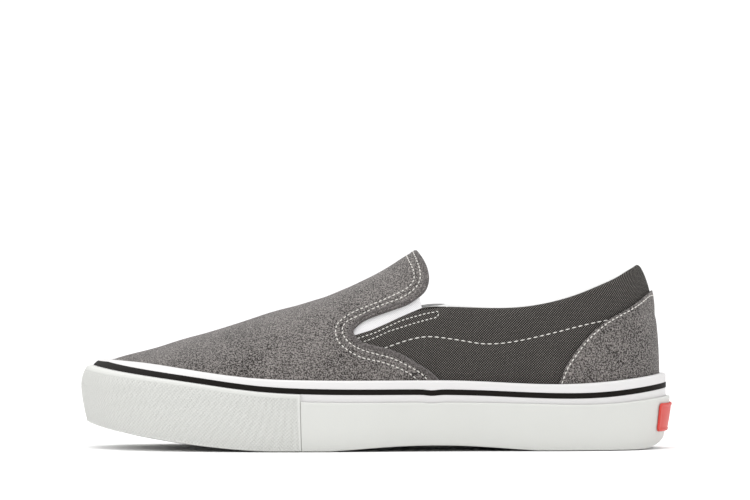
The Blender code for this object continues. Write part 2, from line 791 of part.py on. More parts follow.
def main():
    clear_scene()
    white = material("white_rubber", WHITE_RUBBER, 0.5)
    black = material("black_rubber", BLACK_RUBBER, 0.45)
    red = material("red_rubber", RED_RUBBER, 0.45)
    suede = material("grey_suede", SUEDE, 0.95)
    canvas = material("grey_canvas", CANVAS, 0.9)
    cloth = material("white_cloth", WHITE_CLOTH, 0.9)
    make_outsole(white)
    make_strips(white, black, red)
    make_insole(cloth)
    make_upper(canvas)
    make_covers(suede)
    make_gores(cloth)


main()
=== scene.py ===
import math

import bmesh
import bpy
import numpy as np
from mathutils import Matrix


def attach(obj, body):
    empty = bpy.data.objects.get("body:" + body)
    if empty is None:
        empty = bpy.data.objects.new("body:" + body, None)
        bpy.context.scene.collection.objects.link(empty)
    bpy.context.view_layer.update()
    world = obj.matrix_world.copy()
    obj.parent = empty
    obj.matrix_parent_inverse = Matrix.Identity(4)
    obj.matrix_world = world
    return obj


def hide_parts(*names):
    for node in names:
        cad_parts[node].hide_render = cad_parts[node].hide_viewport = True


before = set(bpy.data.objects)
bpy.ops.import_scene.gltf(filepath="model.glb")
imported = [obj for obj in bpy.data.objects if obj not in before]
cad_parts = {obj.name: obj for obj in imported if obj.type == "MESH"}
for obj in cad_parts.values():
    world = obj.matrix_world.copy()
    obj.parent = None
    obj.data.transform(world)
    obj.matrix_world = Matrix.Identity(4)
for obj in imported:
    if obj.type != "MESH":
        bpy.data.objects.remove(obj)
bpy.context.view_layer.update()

# Left slip-on sneaker. Metres, toe at -X, outer side at -Y, floor at Z 0.
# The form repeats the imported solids' sizes, so the fine pieces lie where they do.
shoe = {
    "length": 0.289, "halfBall": 0.0535, "toeSpring": 0.0122, "archRise": 0.0027,
    "heelRoll": 0.0050, "sideLean": 0.0034, "sidewall": 0.0346,
    "forefootSole": 0.0080, "heelSole": 0.0135, "foxing": 0.0042, "tape": 0.0017,
    "tapeLift": 0.0004, "stripe": 0.0027, "stripeDepth": 0.0008, "insole": 0.0045,
    "collar": 0.0700, "tongueRise": 0.0270, "heelCollar": 0.0902,
    "wall": 0.0022, "padding": 0.0034, "padHeight": 0.020, "padBulge": 0.0010,
    "cover": 0.0011, "elastic": 0.0010, "gap": 0.0003,
    "spineShare": 0.75, "widest": 0.70, "lowerPart": 0.2,
    "toeLean": 0.17, "toeLeanEnd": 0.55,
    "frontRow": 0.542, "tongueRib": 0.628, "bumperEnd": 0.107,
}
half = shoe["length"] / 2
instep = shoe["collar"] + shoe["tongueRise"]
gap = shoe["gap"]
foxingFace = gap + shoe["foxing"]
tapeBack = foxingFace + gap
sideStack = tapeBack + shoe["tape"]
suedeFace = gap + shoe["cover"]

# Half widths of the sole's outline: share of the length, outer side, inner side.
outline = (
    (0.000, -0.17, 0.17), (0.015, 0.18, 0.50), (0.060, 0.56, 0.77), (0.130, 0.80, 0.92),
    (0.230, 0.96, 1.00), (0.340, 1.01, 0.96), (0.460, 0.96, 0.80), (0.580, 0.86, 0.71),
    (0.700, 0.79, 0.71), (0.820, 0.745, 0.71), (0.920, 0.63, 0.60), (0.980, 0.36, 0.34),
    (1.000, 0.00, 0.00))
# Lines round the sole: share of the length, then band top, stripe and lower tape.
sides = (
    (0.00, 1.251, 1.214, 1.000), (0.10, 1.217, 1.105, 0.920), (0.20, 1.118, 0.996, 0.830),
    (0.30, 1.029, 0.890, 0.745), (0.38, 1.006, 0.852, 0.705), (0.55, 1.000, 0.838, 0.694),
    (0.66, 0.991, 0.829, 0.690), (0.80, 0.942, 0.783, 0.665), (0.90, 0.971, 0.795, 0.665),
    (1.00, 1.069, 0.905, 0.750))
# Ridge: share of the length, rise, fullness outwards and upwards.
ridges = (
    (0.00, 0.170, 2.40, 2.40), (0.07, 0.164, 2.40, 2.40), (0.12, 0.198, 2.35, 2.30),
    (0.17, 0.271, 2.30, 2.20), (0.24, 0.363, 2.20, 2.10), (0.34, 0.509, 2.05, 2.05),
    (0.41, 0.605, 2.00, 2.00), (0.475, 0.730, 2.00, 2.00), (0.52, 0.838, 2.00, 2.00),
    (0.569, 0.975, 2.10, 2.05), (0.64, 1.192, 2.50, 2.45), (0.75, 1.227, 2.75, 2.75),
    (0.87, 1.218, 2.70, 2.70), (1.00, 1.201, 2.60, 2.60))
collars = (
    (0.600, 0.030), (0.660, 0.009), (0.715, -0.014), (0.780, 0.041),
    (0.820, 0.145), (0.853, 0.264), (0.914, 0.554), (0.945, 0.709),
    (0.975, 0.880), (1.000, 1.000))
# Lines of the side view as (x, z) in millimetres.
tongueEdge = (
    (20.1, 97.3), (22.0, 94.9), (23.9, 91.6), (25.3, 87.9), (25.7, 84.4), (25.2, 81.3),
    (23.9, 78.5), (21.2, 75.9), (17.3, 72.9), (9.5, 69.7), (1.8, 67.1), (-5.5, 64.2),
    (-9.5, 61.1), (-10.9, 58.1))
quarterEdge = (
    (-9.8, 56.4), (-1.9, 58.8), (5.8, 62.1), (11.6, 64.8), (17.3, 67.3), (22.7, 69.5),
    (26.0, 70.0), (29.5, 70.2))
wingEdge = (
    (-10.9, 58.1), (-9.0, 54.9), (-5.7, 52.9), (1.8, 51.0), (9.7, 48.7), (17.1, 44.9),
    (24.6, 40.1), (30.9, 34.8), (34.7, 29.1))
counterEdge = (
    (87.3, 27.1), (89.7, 33.5), (93.0, 41.5), (96.8, 47.2), (101.4, 53.2), (107.0, 58.8),
    (112.6, 63.1), (119.2, 66.8), (126.7, 71.0), (133.1, 75.7), (150.3, 86.3))


def smoothCurve(xs, ys, period=None):
    # Smooth curve through the points; natural ends, or closed over a period.
    xs = np.array(xs, float)
    ys = np.array(ys, float)
    if period:
        xs = np.append(xs, xs[0] + period)
        ys = np.append(ys, ys[0])
    step = np.diff(xs)
    rise = np.diff(ys) / step
    count = len(xs)
    system = np.zeros((count, count))
    right = np.zeros(count)
    for i in range(1, count - 1):
        system[i, i - 1:i + 2] = step[i - 1], 2 * (step[i - 1] + step[i]), step[i]
        right[i] = 6 * (rise[i] - rise[i - 1])
    if period:
        system[0, 0], system[0, -1] = 1, -1
        system[-1, :2] = 2 * step[0], step[0]
        system[-1, -2:] += step[-1], 2 * step[-1]
        right[-1] = 6 * (rise[0] - rise[-1])
    else:
        system[0, 0] = system[-1, -1] = 1
    bend = np.linalg.solve(system, right)

    def value(x):
        x = np.asarray(x, float)
        if period:
            x = (x - xs[0]) % period + xs[0]
        x = np.clip(x, xs[0], xs[-1])
        i = np.clip(np.searchsorted(xs, x) - 1, 0, count - 2)
        a = (xs[i + 1] - x) / step[i]
        b = 1 - a
        sag = ((a ** 3 - a) * bend[i] + (b ** 3 - b) * bend[i + 1]) * step[i] ** 2 / 6
        return a * ys[i] + b * ys[i + 1] + sag

    return value


def along(share):
    return shoe["length"] * np.asarray(share, float) - half


def tableCurve(table, column, unit=1.0):
    return smoothCurve([along(row[0]) for row in table], [unit * row[column] for row in table])


def outlineCurve():
    angle = [math.acos(1 - 2 * row[0]) for row in outline]
    outer = [-shoe["halfBall"] * row[1] for row in outline]
    inner = [shoe["halfBall"] * row[2] for row in outline]
    angles = angle + [2 * math.pi - a for a in angle[-2:0:-1]]
    return smoothCurve(angles, outer + inner[-2:0:-1], period=2 * math.pi)


def ridgeCurve():
    rises = []
    for at, rise, _, _ in ridges:
        full = shoe["heelCollar"] if at > shoe["tongueRib"] else instep
        rises.append(shoe["sidewall"] + rise * (full - shoe["sidewall"]))
    return smoothCurve([along(row[0]) for row in ridges], rises)


outlineY = outlineCurve()
bandTop = tableCurve(sides, 1, shoe["sidewall"])
stripeMiddle = tableCurve(sides, 2, shoe["sidewall"])
tapeTop = tableCurve(sides, 3, shoe["sidewall"])
ridgeHeight = ridgeCurve()
ridgeOutward = tableCurve(ridges, 2)
ridgeUpward = tableCurve(ridges, 3)
collarClimb = tableCurve(collars, 1)
rollStart, ballEnd = along(0.320), along(0.418)
heelStart, heelEnd = along(0.790), along(0.945)


def bottomHeight(x):
    x = np.asarray(x, float)
    toe = np.clip((rollStart - x) / (rollStart + half), 0, None)
    arch = np.clip((x - ballEnd) / (heelStart - ballEnd), 0, 1)
    back = np.clip((x - heelEnd) / (half - heelEnd), 0, None)
    return (shoe["toeSpring"] * toe ** 1.6
            + shoe["archRise"] * np.sin(math.pi * arch) ** 1.2
            + shoe["heelRoll"] * back ** 3)


def bedHeight(x):
    back = np.clip((np.asarray(x, float) + half * 0.5) / (half * 1.1), 0, 1)
    ease = back * back * (3 - 2 * back)
    thick = shoe["forefootSole"] + (shoe["heelSole"] - shoe["forefootSole"]) * ease
    return bottomHeight(np.clip(x, -half, heelEnd)) + thick


def collarHeight(x):
    return shoe["collar"] + (shoe["heelCollar"] - shoe["collar"]) * collarClimb(x)


def rowHeight(x):
    overVamp = bandTop(x) + shoe["frontRow"] * (ridgeHeight(x) - bandTop(x))
    return np.where(x < along(shoe["tongueRib"]), overVamp, collarHeight(x))


def toeLean(x):
    end = shoe["toeLeanEnd"]
    front = np.clip((along(end) - np.asarray(x, float)) / (end * shoe["length"]), 0, 1)
    return shoe["toeLean"] * shoe["halfBall"] * front * front * (3 - 2 * front)


def edgeX(angle):
    return -half * np.cos(angle)


def form(angle, count):
    # Point of the last. The angle is 0 at the toe and pi at the heel. The count runs
    # from 0 at the foot to 1 at the ridge and on to 2 down the other side.
    angle, count = np.broadcast_arrays(np.asarray(angle, float), np.asarray(count, float))
    over = count > 1
    angle = np.where(over, -angle, angle)
    count = np.where(over, 2 - count, count)
    ex = edgeX(angle)
    ey = outlineY(angle)
    sx = shoe["spineShare"] * ex
    sy = toeLean(sx)
    reach = np.hypot(ex - sx, ey - sy)
    low = np.clip(1 - count / shoe["lowerPart"], 0, 1)
    turn = np.clip((count - shoe["lowerPart"]) / (1 - shoe["lowerPart"]), 0, 1) * math.pi / 2
    outward = np.clip(np.cos(turn), 0, 1) ** (2 / ridgeOutward(sx))
    radius = (reach - sideStack) * outward - shoe["sideLean"] * low ** 1.5
    x = sx + (ex - sx) / reach * radius
    y = sy + (ey - sy) / reach * radius
    upward = np.clip(np.sin(turn), 0, 1) ** (2 / ridgeUpward(sx))
    wide = shoe["widest"] * bandTop(ex)
    z = wide - (wide - bottomHeight(ex)) * low + (ridgeHeight(x) - wide) * upward
    return np.stack([x, y, z], axis=-1)


def facing(angle, count):
    # Outward normal of the last.
    angle, count = np.broadcast_arrays(np.asarray(angle, float), np.asarray(count, float))
    nudge = 1e-3

    def raw(turned):
        side = form(turned + nudge, count) - form(turned - nudge, count)
        rise = form(turned, count + nudge) - form(turned, np.maximum(count - nudge, 0))
        normal = np.cross(side, rise)
        return normal / np.maximum(np.linalg.norm(normal, axis=-1, keepdims=True), 1e-12)

    near = np.where(np.abs(np.sin(angle)) < 0.012, 0.012, 0)
    normal = raw(angle + near) + raw(angle - near)
    return normal / np.maximum(np.linalg.norm(normal, axis=-1, keepdims=True), 1e-12)


def skin(angle, count, offset):
    return form(angle, count) + facing(angle, count) * np.asarray(offset)[..., None]


def onSide(line, offset, inner=False, rounds=40):
    # Angles and counts of the skin points that show at these (x, z) from the side.
    line = np.array(line, float)
    angle = np.arccos(np.clip(-line[:, 0] / (half * 0.93), -0.98, 0.98))
    count = np.full(len(line), 0.5)
    sign = -1 if inner else 1

    def seen(a, c):
        return skin(sign * a, c, np.full(len(line), offset))[:, (0, 2)]

    for _ in range(rounds):
        here = seen(angle, count)
        miss = line - here
        byAngle = (seen(angle + 1e-4, count) - here) / 1e-4
        byCount = (seen(angle, count + 1e-4) - here) / 1e-4
        det = byAngle[:, 0] * byCount[:, 1] - byAngle[:, 1] * byCount[:, 0]
        det = np.where(np.abs(det) < 1e-9, 1e-9, det)
        da = (miss[:, 0] * byCount[:, 1] - miss[:, 1] * byCount[:, 0]) / det
        dc = (byAngle[:, 0] * miss[:, 1] - byAngle[:, 1] * miss[:, 0]) / det
        angle = np.clip(angle + np.clip(0.8 * da, -0.1, 0.1), 0.03, math.pi - 0.03)
        count = np.clip(count + np.clip(0.8 * dc, -0.06, 0.06), 0.02, 0.995)
    return sign * angle, count


def evenLine(line, spacing, smooth=True):
    # The (x, z) line in metres, with points at an even spacing.
    line = np.array(line, float) / 1000
    lengths = lengthsAlong(line)
    if smooth:
        fine = np.linspace(0, lengths[-1], 20 * len(line))
        line = np.stack([smoothCurve(lengths, line[:, k])(fine) for k in (0, 1)], axis=1)
        lengths = lengthsAlong(line)
    steps = np.linspace(0, lengths[-1], max(int(lengths[-1] / spacing), 2) + 1)
    return np.stack([np.interp(steps, lengths, line[:, k]) for k in (0, 1)], axis=1)


def lengthsAlong(points):
    # Length from the first point of a line to each of its points.
    steps = np.linalg.norm(np.diff(points, axis=0), axis=1)
    return np.concatenate([[0], np.cumsum(steps)])


def outlineLengths(angles):
    return lengthsAlong(np.stack([edgeX(angles), outlineY(angles)], axis=1))


def metricUv(points, around):
    # UV map in metres: the given lengths round the shoe, and up each rib.
    up = np.cumsum(np.linalg.norm(np.diff(points, axis=1), axis=2), axis=1)
    up = np.concatenate([np.zeros((len(points), 1)), up], axis=1)
    return np.stack([np.broadcast_to(around[:, None], up.shape), up], axis=-1)


def smoothStep(value, low, high):
    share = np.clip((value - low) / (high - low), 0, 1)
    return share * share * (3 - 2 * share)


def addObject(name, data):
    made = bpy.data.objects.new(name, data)
    bpy.context.scene.collection.objects.link(made)
    return made


def addShape(name, shape):
    # Puts a bmesh in the scene as an object and frees it.
    mesh = bpy.data.meshes.new(name)
    shape.to_mesh(mesh)
    shape.free()
    return addObject(name, mesh)


def finish(name, shape, materials, angle=40):
    # Puts a bmesh in the scene as one smooth piece with its materials.
    made = addShape(name, shape)
    for finishMaterial in materials:
        made.data.materials.append(finishMaterial)
    made.data.shade_smooth()
    made.data.set_sharp_from_angle(angle=math.radians(angle))
    return made


def applyModifiers(piece):
    # Works the modifiers into a plain mesh and removes them.
    bpy.context.view_layer.update()
    mesh = bpy.data.meshes.new_from_object(
        piece.evaluated_get(bpy.context.evaluated_depsgraph_get()))
    piece.modifiers.clear()
    piece.data = mesh


def booleanBy(piece, cutters, operation="DIFFERENCE", angle=40):
    for cutter in cutters:
        modifier = piece.modifiers.new("cut", "BOOLEAN")
        modifier.operation = operation
        modifier.object = cutter
        modifier.solver = "EXACT"
    applyModifiers(piece)
    for cutter in cutters:
        bpy.data.objects.remove(cutter, do_unlink=True)
    piece.data.set_sharp_from_angle(angle=math.radians(angle))


def gridMesh(points, uv, closeRows, closeColumns):
    # Faces over a grid of points [i][j], closed round either way if asked.
    rows, columns = points.shape[:2]
    shape = bmesh.new()
    verts = [shape.verts.new(p) for p in points.reshape(-1, 3)]
    layer = shape.loops.layers.uv.new("UVMap")
    for i in range(rows if closeRows else rows - 1):
        for j in range(columns if closeColumns else columns - 1):
            corners = [(i, j), (i + 1, j), (i + 1, j + 1), (i, j + 1)]
            ids = [(a % rows) * columns + b % columns for a, b in corners]
            face = shape.faces.new([verts[k] for k in ids])
            for loop, (a, b) in zip(face.loops, corners):
                loop[layer].uv = uv[a % rows, b % columns]
    return shape


def sweptMesh(points, closed):
    # Closed sections joined into a ring, or into a length with its two ends closed.
    shape = gridMesh(points, metricUv(points, lengthsAlong(points[:, 0])), closed, True)
    if not closed:
        rows, columns = points.shape[:2]
        shape.verts.ensure_lookup_table()
        first = [shape.verts[k] for k in range(columns)]
        last = [shape.verts[(rows - 1) * columns + k] for k in range(columns)]
        shape.faces.new(first[::-1])
        shape.faces.new(last)
    bmesh.ops.recalc_face_normals(shape, faces=shape.faces)
    return shape


def wallMesh(outer, inner, uv, keep, folds):
    # Closed wall between two grids of points over the cells that are kept. At a
    # folded end the row's two halves meet.
    rows, columns = outer.shape[:2]
    shape = bmesh.new()
    layer = shape.loops.layers.uv.new("UVMap")
    verts = {}

    def vertex(i, j, side):
        if (i, j, side) not in verts:
            verts[i, j, side] = shape.verts.new((outer, inner)[side][i, j])
        return verts[i, j, side]

    def face(corners, slot):
        made = shape.faces.new([vertex(*corner) for corner in corners])
        made.material_index = slot
        for loop, corner in zip(made.loops, corners):
            loop[layer].uv = uv[corner[0], corner[1]]

    ends = [(0, rows - 1)[k] for k in folds]
    for i in range(rows - 1):
        for j in range(columns - 1):
            if not keep[i, j]:
                continue
            corners = ((i, j), (i + 1, j), (i + 1, j + 1), (i, j + 1))
            face([(*c, 0) for c in corners], 0)
            face([(*c, 1) for c in corners[::-1]], 1)
            for k, (a, b) in enumerate(((i, j - 1), (i + 1, j), (i, j + 1), (i - 1, j))):
                inside = 0 <= a < rows - 1 and 0 <= b < columns - 1 and keep[a, b]
                p, q = corners[k], corners[(k + 1) % 4]
                folded = k in (1, 3) and p[0] in ends and keep[i, columns - 2 - j]
                if not inside and not folded:
                    face([(*q, 0), (*p, 0), (*p, 1), (*q, 1)], 1)
    bmesh.ops.remove_doubles(shape, verts=shape.verts, dist=1e-6)
    bmesh.ops.recalc_face_normals(shape, faces=shape.faces)
    return shape


cutterReach = 0.1


def cutBy(piece, polygon, operation="DIFFERENCE"):
    # Cuts a piece with a prism across the shoe, drawn as a polygon of the side view.
    shape = bmesh.new()
    near = [shape.verts.new((x, -cutterReach, z)) for x, z in polygon]
    swept = bmesh.ops.extrude_face_region(shape, geom=[shape.faces.new(near)])
    for item in swept["geom"]:
        if isinstance(item, bmesh.types.BMVert):
            item.co.y = cutterReach
    bmesh.ops.triangulate(shape, faces=[f for f in shape.faces if len(f.verts) > 4])
    bmesh.ops.recalc_face_normals(shape, faces=shape.faces)
    booleanBy(piece, [addShape("cutter", shape)], operation)


# Node helpers. Materials and groups are built from short chains of math nodes.
class Tree:
    def __init__(self, tree):
        self.tree = tree
        self.link = tree.links.new

    def feed(self, socket, value):
        if isinstance(value, bpy.types.NodeSocket):
            self.link(value, socket)
        else:
            socket.default_value = value

    # Inputs go by name, with _ for a space, or by number as i0, i1; set_ sets a property
    def add(self, kind, **inputs):
        node = self.tree.nodes.new(kind)
        for key, value in inputs.items():
            if key.startswith("set_"):
                setattr(node, key[4:], value)
            elif key[0] == "i" and key[1:].isdigit():
                self.feed(node.inputs[int(key[1:])], value)
            else:
                self.feed(node.inputs[key.replace("_", " ")], value)
        return node

    def math(self, operation, a, b=0.0):
        return self.add("ShaderNodeMath", set_operation=operation, i0=a, i1=b).outputs[0]

    def noise(self, vector, scale, detail=2.0, rough=0.5):
        return self.add("ShaderNodeTexNoise", Vector=vector, Scale=scale, Detail=detail,
                        Roughness=rough).outputs["Fac"]

    def ramp(self, value, low, high):
        return self.add("ShaderNodeMapRange", set_interpolation_type="SMOOTHSTEP",
                        Value=value, From_Min=low, From_Max=high).outputs["Result"]

    def blend(self, factor, a, b):
        return self.add("ShaderNodeMix", set_data_type="RGBA", Factor=factor, i6=a,
                        i7=b).outputs[2]

    def bump(self, height, distance):
        return self.add("ShaderNodeBump", Height=height, Distance=distance).outputs["Normal"]


def newGroup(name, outputs, inputs=()):
    group = bpy.data.node_groups.new(name, "ShaderNodeTree")
    for label, kind, value in inputs:
        socket = group.interface.new_socket(label, in_out="INPUT", socket_type=kind)
        socket.default_value = value
    for label, kind in outputs:
        group.interface.new_socket(label, in_out="OUTPUT", socket_type=kind)
    source = group.nodes.new("NodeGroupInput")
    sink = group.nodes.new("NodeGroupOutput")
    return group, Tree(group), source.outputs, sink.inputs


def useGroup(tree, group, **inputs):
    return tree.add("ShaderNodeGroup", set_node_tree=group, **inputs).outputs


def newMaterial(name, roughness, **shaderValues):
    made = bpy.data.materials.new(name)
    made.use_nodes = True
    shader = made.node_tree.nodes["Principled BSDF"]
    shader.inputs["Roughness"].default_value = roughness
    for key, value in shaderValues.items():
        shader.inputs[key.replace("_", " ")].default_value = value
    return made, Tree(made.node_tree), shader


def grey(value):
    return (value, value, value, 1)


def weaveGroup():
    # Crossed threads over the UV map: height 1 on a thread, 0 in a gap.
    group, tree, given, out = newGroup(
        "weave", [("Height", "NodeSocketFloat"), ("Mottle", "NodeSocketFloat")],
        [("Pitch", "NodeSocketFloat", 0.0009), ("Slant", "NodeSocketFloat", 1.0),
         ("Gap", "NodeSocketFloat", 0.0)])
    uv = tree.add("ShaderNodeTexCoord").outputs["UV"]
    wobble = tree.noise(uv, 900.0, 1.0)
    shift = tree.math("MULTIPLY", tree.math("SUBTRACT", wobble, 0.5), 1.6)
    parts = tree.add("ShaderNodeSeparateXYZ", Vector=uv).outputs
    u = tree.math("DIVIDE", tree.math("MULTIPLY", parts[0], 2 * math.pi), given["Pitch"])
    v = tree.math("DIVIDE", tree.math("MULTIPLY", parts[1], 2 * math.pi), given["Pitch"])
    a = tree.math("COSINE", tree.math("ADD", tree.math("ADD", u, v), shift))
    b = tree.math("COSINE", tree.math("ADD", tree.math("SUBTRACT", u, v), shift))
    high = tree.math("MULTIPLY", tree.math("ADD", a, 1.0), tree.math("ADD", b, 1.0))
    slant = tree.math("MULTIPLY", tree.math("ADD", b, 1.0), given["Slant"])
    total = tree.math("ADD", high, slant)
    tree.link(tree.ramp(tree.math("SUBTRACT", total, given["Gap"]), 0.0, 3.4), out["Height"])
    tree.link(tree.noise(uv, 70.0, 3.0), out["Mottle"])
    return group


def napGroup():
    # Suede: short fibres in clumps, with broad brushed patches.
    group, tree, given, out = newGroup(
        "nap", [("Fibre", "NodeSocketFloat"), ("Patch", "NodeSocketFloat")],
        [("Scale", "NodeSocketFloat", 1.0)])
    place = tree.add("ShaderNodeTexCoord").outputs["Object"]
    scaled = tree.add("ShaderNodeVectorMath", set_operation="SCALE", i0=place,
                      Scale=given["Scale"]).outputs[0]
    fine = tree.noise(scaled, 1500.0, 2.5, 0.8)
    broad = tree.noise(scaled, 42.0, 3.0, 0.55)
    tree.link(tree.ramp(fine, 0.435, 0.60), out["Fibre"])
    tree.link(tree.ramp(broad, 0.30, 0.70), out["Patch"])
    return group


def rubberGroup():
    # Vulcanised rubber: a faint uneven tone and a very fine pebble.
    group, tree, _, out = newGroup(
        "rubberSkin", [("Tone", "NodeSocketFloat"), ("Pebble", "NodeSocketFloat")])
    place = tree.add("ShaderNodeTexCoord").outputs["Object"]
    tree.link(tree.noise(place, 28.0, 3.0, 0.5), out["Tone"])
    tree.link(tree.noise(place, 1600.0, 1.0, 0.5), out["Pebble"])
    return group


weave, nap, rubberSkin = weaveGroup(), napGroup(), rubberGroup()
# How far each finish shows, and the strength and dark tone of the painted shade in the bumper's
# grooves; depths in metres
looks = {"brushed": 0.14, "napDepth": 0.00018, "mottle": 0.25, "pebbleDepth": 0.00004,
         "grooveShade": 0.30, "grooveShadeTone": (0.30, 0.30, 0.285, 1)}


def suedeMaterial(name, light, dark, contrast):
    made, tree, shader = newMaterial(name, 0.92, Sheen_Weight=0.18, Sheen_Roughness=0.5,
                                     Specular_IOR_Level=0.2)
    fibre = useGroup(tree, nap)
    tone = tree.math("ADD", tree.math("MULTIPLY", fibre["Fibre"], contrast),
                     tree.math("MULTIPLY", fibre["Patch"], looks["brushed"]))
    tree.link(tree.blend(tone, dark, light), shader.inputs["Base Color"])
    tree.link(tree.bump(fibre["Fibre"], looks["napDepth"]), shader.inputs["Normal"])
    return made


def clothMaterial(name, thread, hollow, pitch, slant, depth, contrast=1.0, bare=0.0):
    made, tree, shader = newMaterial(name, 0.9, Specular_IOR_Level=0.2)
    woven = useGroup(tree, weave, Pitch=pitch, Slant=slant, Gap=bare)
    cover = tree.math("MULTIPLY", tree.math("SUBTRACT", 1.0, woven["Height"]), contrast)
    base = tree.blend(cover, thread, hollow)
    faded = tree.blend(tree.math("MULTIPLY", woven["Mottle"], looks["mottle"]), base, hollow)
    tree.link(faded, shader.inputs["Base Color"])
    tree.link(tree.bump(woven["Height"], depth), shader.inputs["Normal"])
    return made


def rubberMaterial(name, light, shade, roughness, shine=0.4, shadedGrooves=False):
    made, tree, shader = newMaterial(name, roughness, Specular_IOR_Level=shine)
    skinned = useGroup(tree, rubberSkin)
    tone = tree.blend(skinned["Tone"], light, shade)
    # Painted shade: where the groove attribute is set, the colour darkens towards a grey tone,
    # standing in for the shade in the bumper's grooves.
    if shadedGrooves:
        groove = tree.add("ShaderNodeAttribute", set_attribute_name="groove").outputs["Fac"]
        shaded = tree.math("MULTIPLY", groove, looks["grooveShade"])
        tone = tree.blend(shaded, tone, looks["grooveShadeTone"])
    tree.link(tone, shader.inputs["Base Color"])
    tree.link(tree.bump(skinned["Pebble"], looks["pebbleDepth"]), shader.inputs["Normal"])
    return made


suede = suedeMaterial("suede", (0.320, 0.294, 0.280, 1), (0.012, 0.010, 0.009, 1), 0.90)
bindingSuede = suedeMaterial("bindingSuede", (0.205, 0.187, 0.182, 1),
                             (0.060, 0.053, 0.051, 1), 0.75)
canvas = clothMaterial("canvas", (0.365, 0.340, 0.316, 1), (0.013, 0.0115, 0.0105, 1),
                       0.00125, 0.4, 0.00030, 1.0, 1.0)
lining = clothMaterial("lining", (0.88, 0.88, 0.87, 1), (0.70, 0.70, 0.70, 1),
                       0.0011, 0.0, 0.0001, 0.6)
elastic = clothMaterial("elastic", (0.86, 0.85, 0.86, 1), (0.58, 0.57, 0.58, 1),
                        0.0010, 3.0, 0.00015, 0.6)
whiteRubber = rubberMaterial("whiteRubber", (0.625, 0.63, 0.605, 1),
                             (0.585, 0.59, 0.565, 1), 0.5)
# Toe bumper rubber, with painted shade in its grooves
bumperRubber = rubberMaterial("bumperRubber", (0.640, 0.645, 0.620, 1),
                              (0.600, 0.605, 0.580, 1), 0.5, shadedGrooves=True)
bandRubber = rubberMaterial("bandRubber", (0.70, 0.69, 0.69, 1), (0.66, 0.65, 0.65, 1), 0.45)
blackRubber = rubberMaterial("blackRubber", (0.008, 0.006, 0.005, 1),
                             (0.005, 0.004, 0.003, 1), 0.6, 0.12)
redRubber = rubberMaterial("redRubber", (0.62, 0.052, 0.038, 1), (0.54, 0.040, 0.030, 1), 0.45)
thread = rubberMaterial("thread", (0.82, 0.80, 0.76, 1), (0.70, 0.68, 0.64, 1), 0.8)
print("materials made")


# Creases: soft troughs (+) and swells (-) as side view lines in millimetres, with
# their half width and depth. They show on both sides.
vampCreases = (
    (-52, 44, -36, 62, 6.5, 0.55), (-38, 42, -22, 68, 5.5, 0.60),
    (-22, 42, -10, 72, 6.0, 0.45), (-64, 42, -50, 58, 8.0, -0.35),
    (-30, 42, -15, 66, 5.0, -0.35), (-92, 38, -84, 50, 9.0, 0.30),
    (-2, 76, 12, 84, 5.0, 0.35))
canvasCreases = (
    (44, 36, 50, 49, 5.0, 0.35), (61, 36, 58, 49, 5.5, -0.30),
    (71, 35, 76, 51, 5.0, 0.40), (20, 52, 27, 66, 4.5, 0.25))


def creaseDepth(points, creases):
    # Depth of the creases at each point, in metres.
    depth = np.zeros(points.shape[:-1])
    seen = points[..., (0, 2)] * 1000
    for x0, z0, x1, z1, width, deep in creases:
        start, run = np.array([x0, z0]), np.array([x1 - x0, z1 - z0], float)
        share = np.clip(((seen - start) @ run) / (run @ run), 0, 1)
        away = np.linalg.norm(seen - start - share[..., None] * run, axis=-1)
        depth += deep / 1000 * np.exp(-(away / width) ** 2)
    return depth


# Upper: canvas outside, white lining inside, padded collar
upperParts = {"frontRibs": 120, "backRibs": 120, "lowRows": 6, "middleRows": 14,
              "padRows": 22, "topRows": 34, "rimRound": 0.0010, "rimReach": 0.0020,
              "bandTuck": 0.002, "padStart": 0.47, "padFull": 0.58, "leastReach": 0.006,
              "stitchTrough": 0.00045, "troughWidth": 0.0016, "troughFront": 0.002,
              "puckers": 0.00018, "puckerWaves": 420, "puckerDrift": 95}
collarStitch = (
    (5.1, 50.4), (16.4, 54.2), (24.8, 55.7), (33.3, 55.1), (42.7, 53.7), (52.0, 52.3),
    (62.3, 52.5), (72.7, 54.2), (82.0, 56.3), (91.4, 58.6), (101.7, 61.2), (112.0, 63.3),
    (121.0, 64.8), (132.0, 66.0))
stitchHeight = smoothCurve([p[0] / 1000 for p in collarStitch],
                           [p[1] / 1000 for p in collarStitch])


def ribAngles(front, back):
    middle = math.acos(1 - 2 * shoe["tongueRib"])
    return np.concatenate([np.linspace(0, middle, front + 1),
                           np.linspace(middle, math.pi, back + 1)[1:]])


def countsAt(angle, levels):
    # Counts at which one rib reaches these heights.
    counts = np.linspace(0, 1, 241)
    heights = form(angle, counts)[:, 2]
    peak = int(np.argmax(heights)) + 1
    return np.interp(levels, heights[:peak], counts[:peak])


def upperCounts(angles, side):
    # Counts [rib][row] from the sole's bed to the ridge. Rows crowd towards the rim.
    p = upperParts
    out = []
    for angle in angles:
        x = edgeX(angle)
        foot, band, row = bedHeight(x) + gap, float(bandTop(x)), float(rowHeight(x))
        pad = min(shoe["padHeight"], 0.7 * (row - band))
        easing = np.linspace(0, 1, p["padRows"] + 1)[1:]
        levels = np.concatenate([
            np.linspace(foot, band - p["bandTuck"], p["lowRows"]),
            np.linspace(band - p["bandTuck"], row - pad, p["middleRows"] + 1)[1:],
            row - pad * (1 - easing) ** 1.6])
        low = countsAt(side * angle, levels)
        high = np.linspace(low[-1], 1, p["topRows"] + 1)[1:]
        out.append(np.concatenate([low, high]))
    return np.array(out)


def upperGrid(angles):
    # Counts [rib][row] up the outer side, over the ridge and down the inner side.
    outer = upperCounts(angles, 1)
    inner = upperCounts(angles, -1)
    return np.concatenate([outer[:, :-1], 2 - inner[:, ::-1]], axis=1)


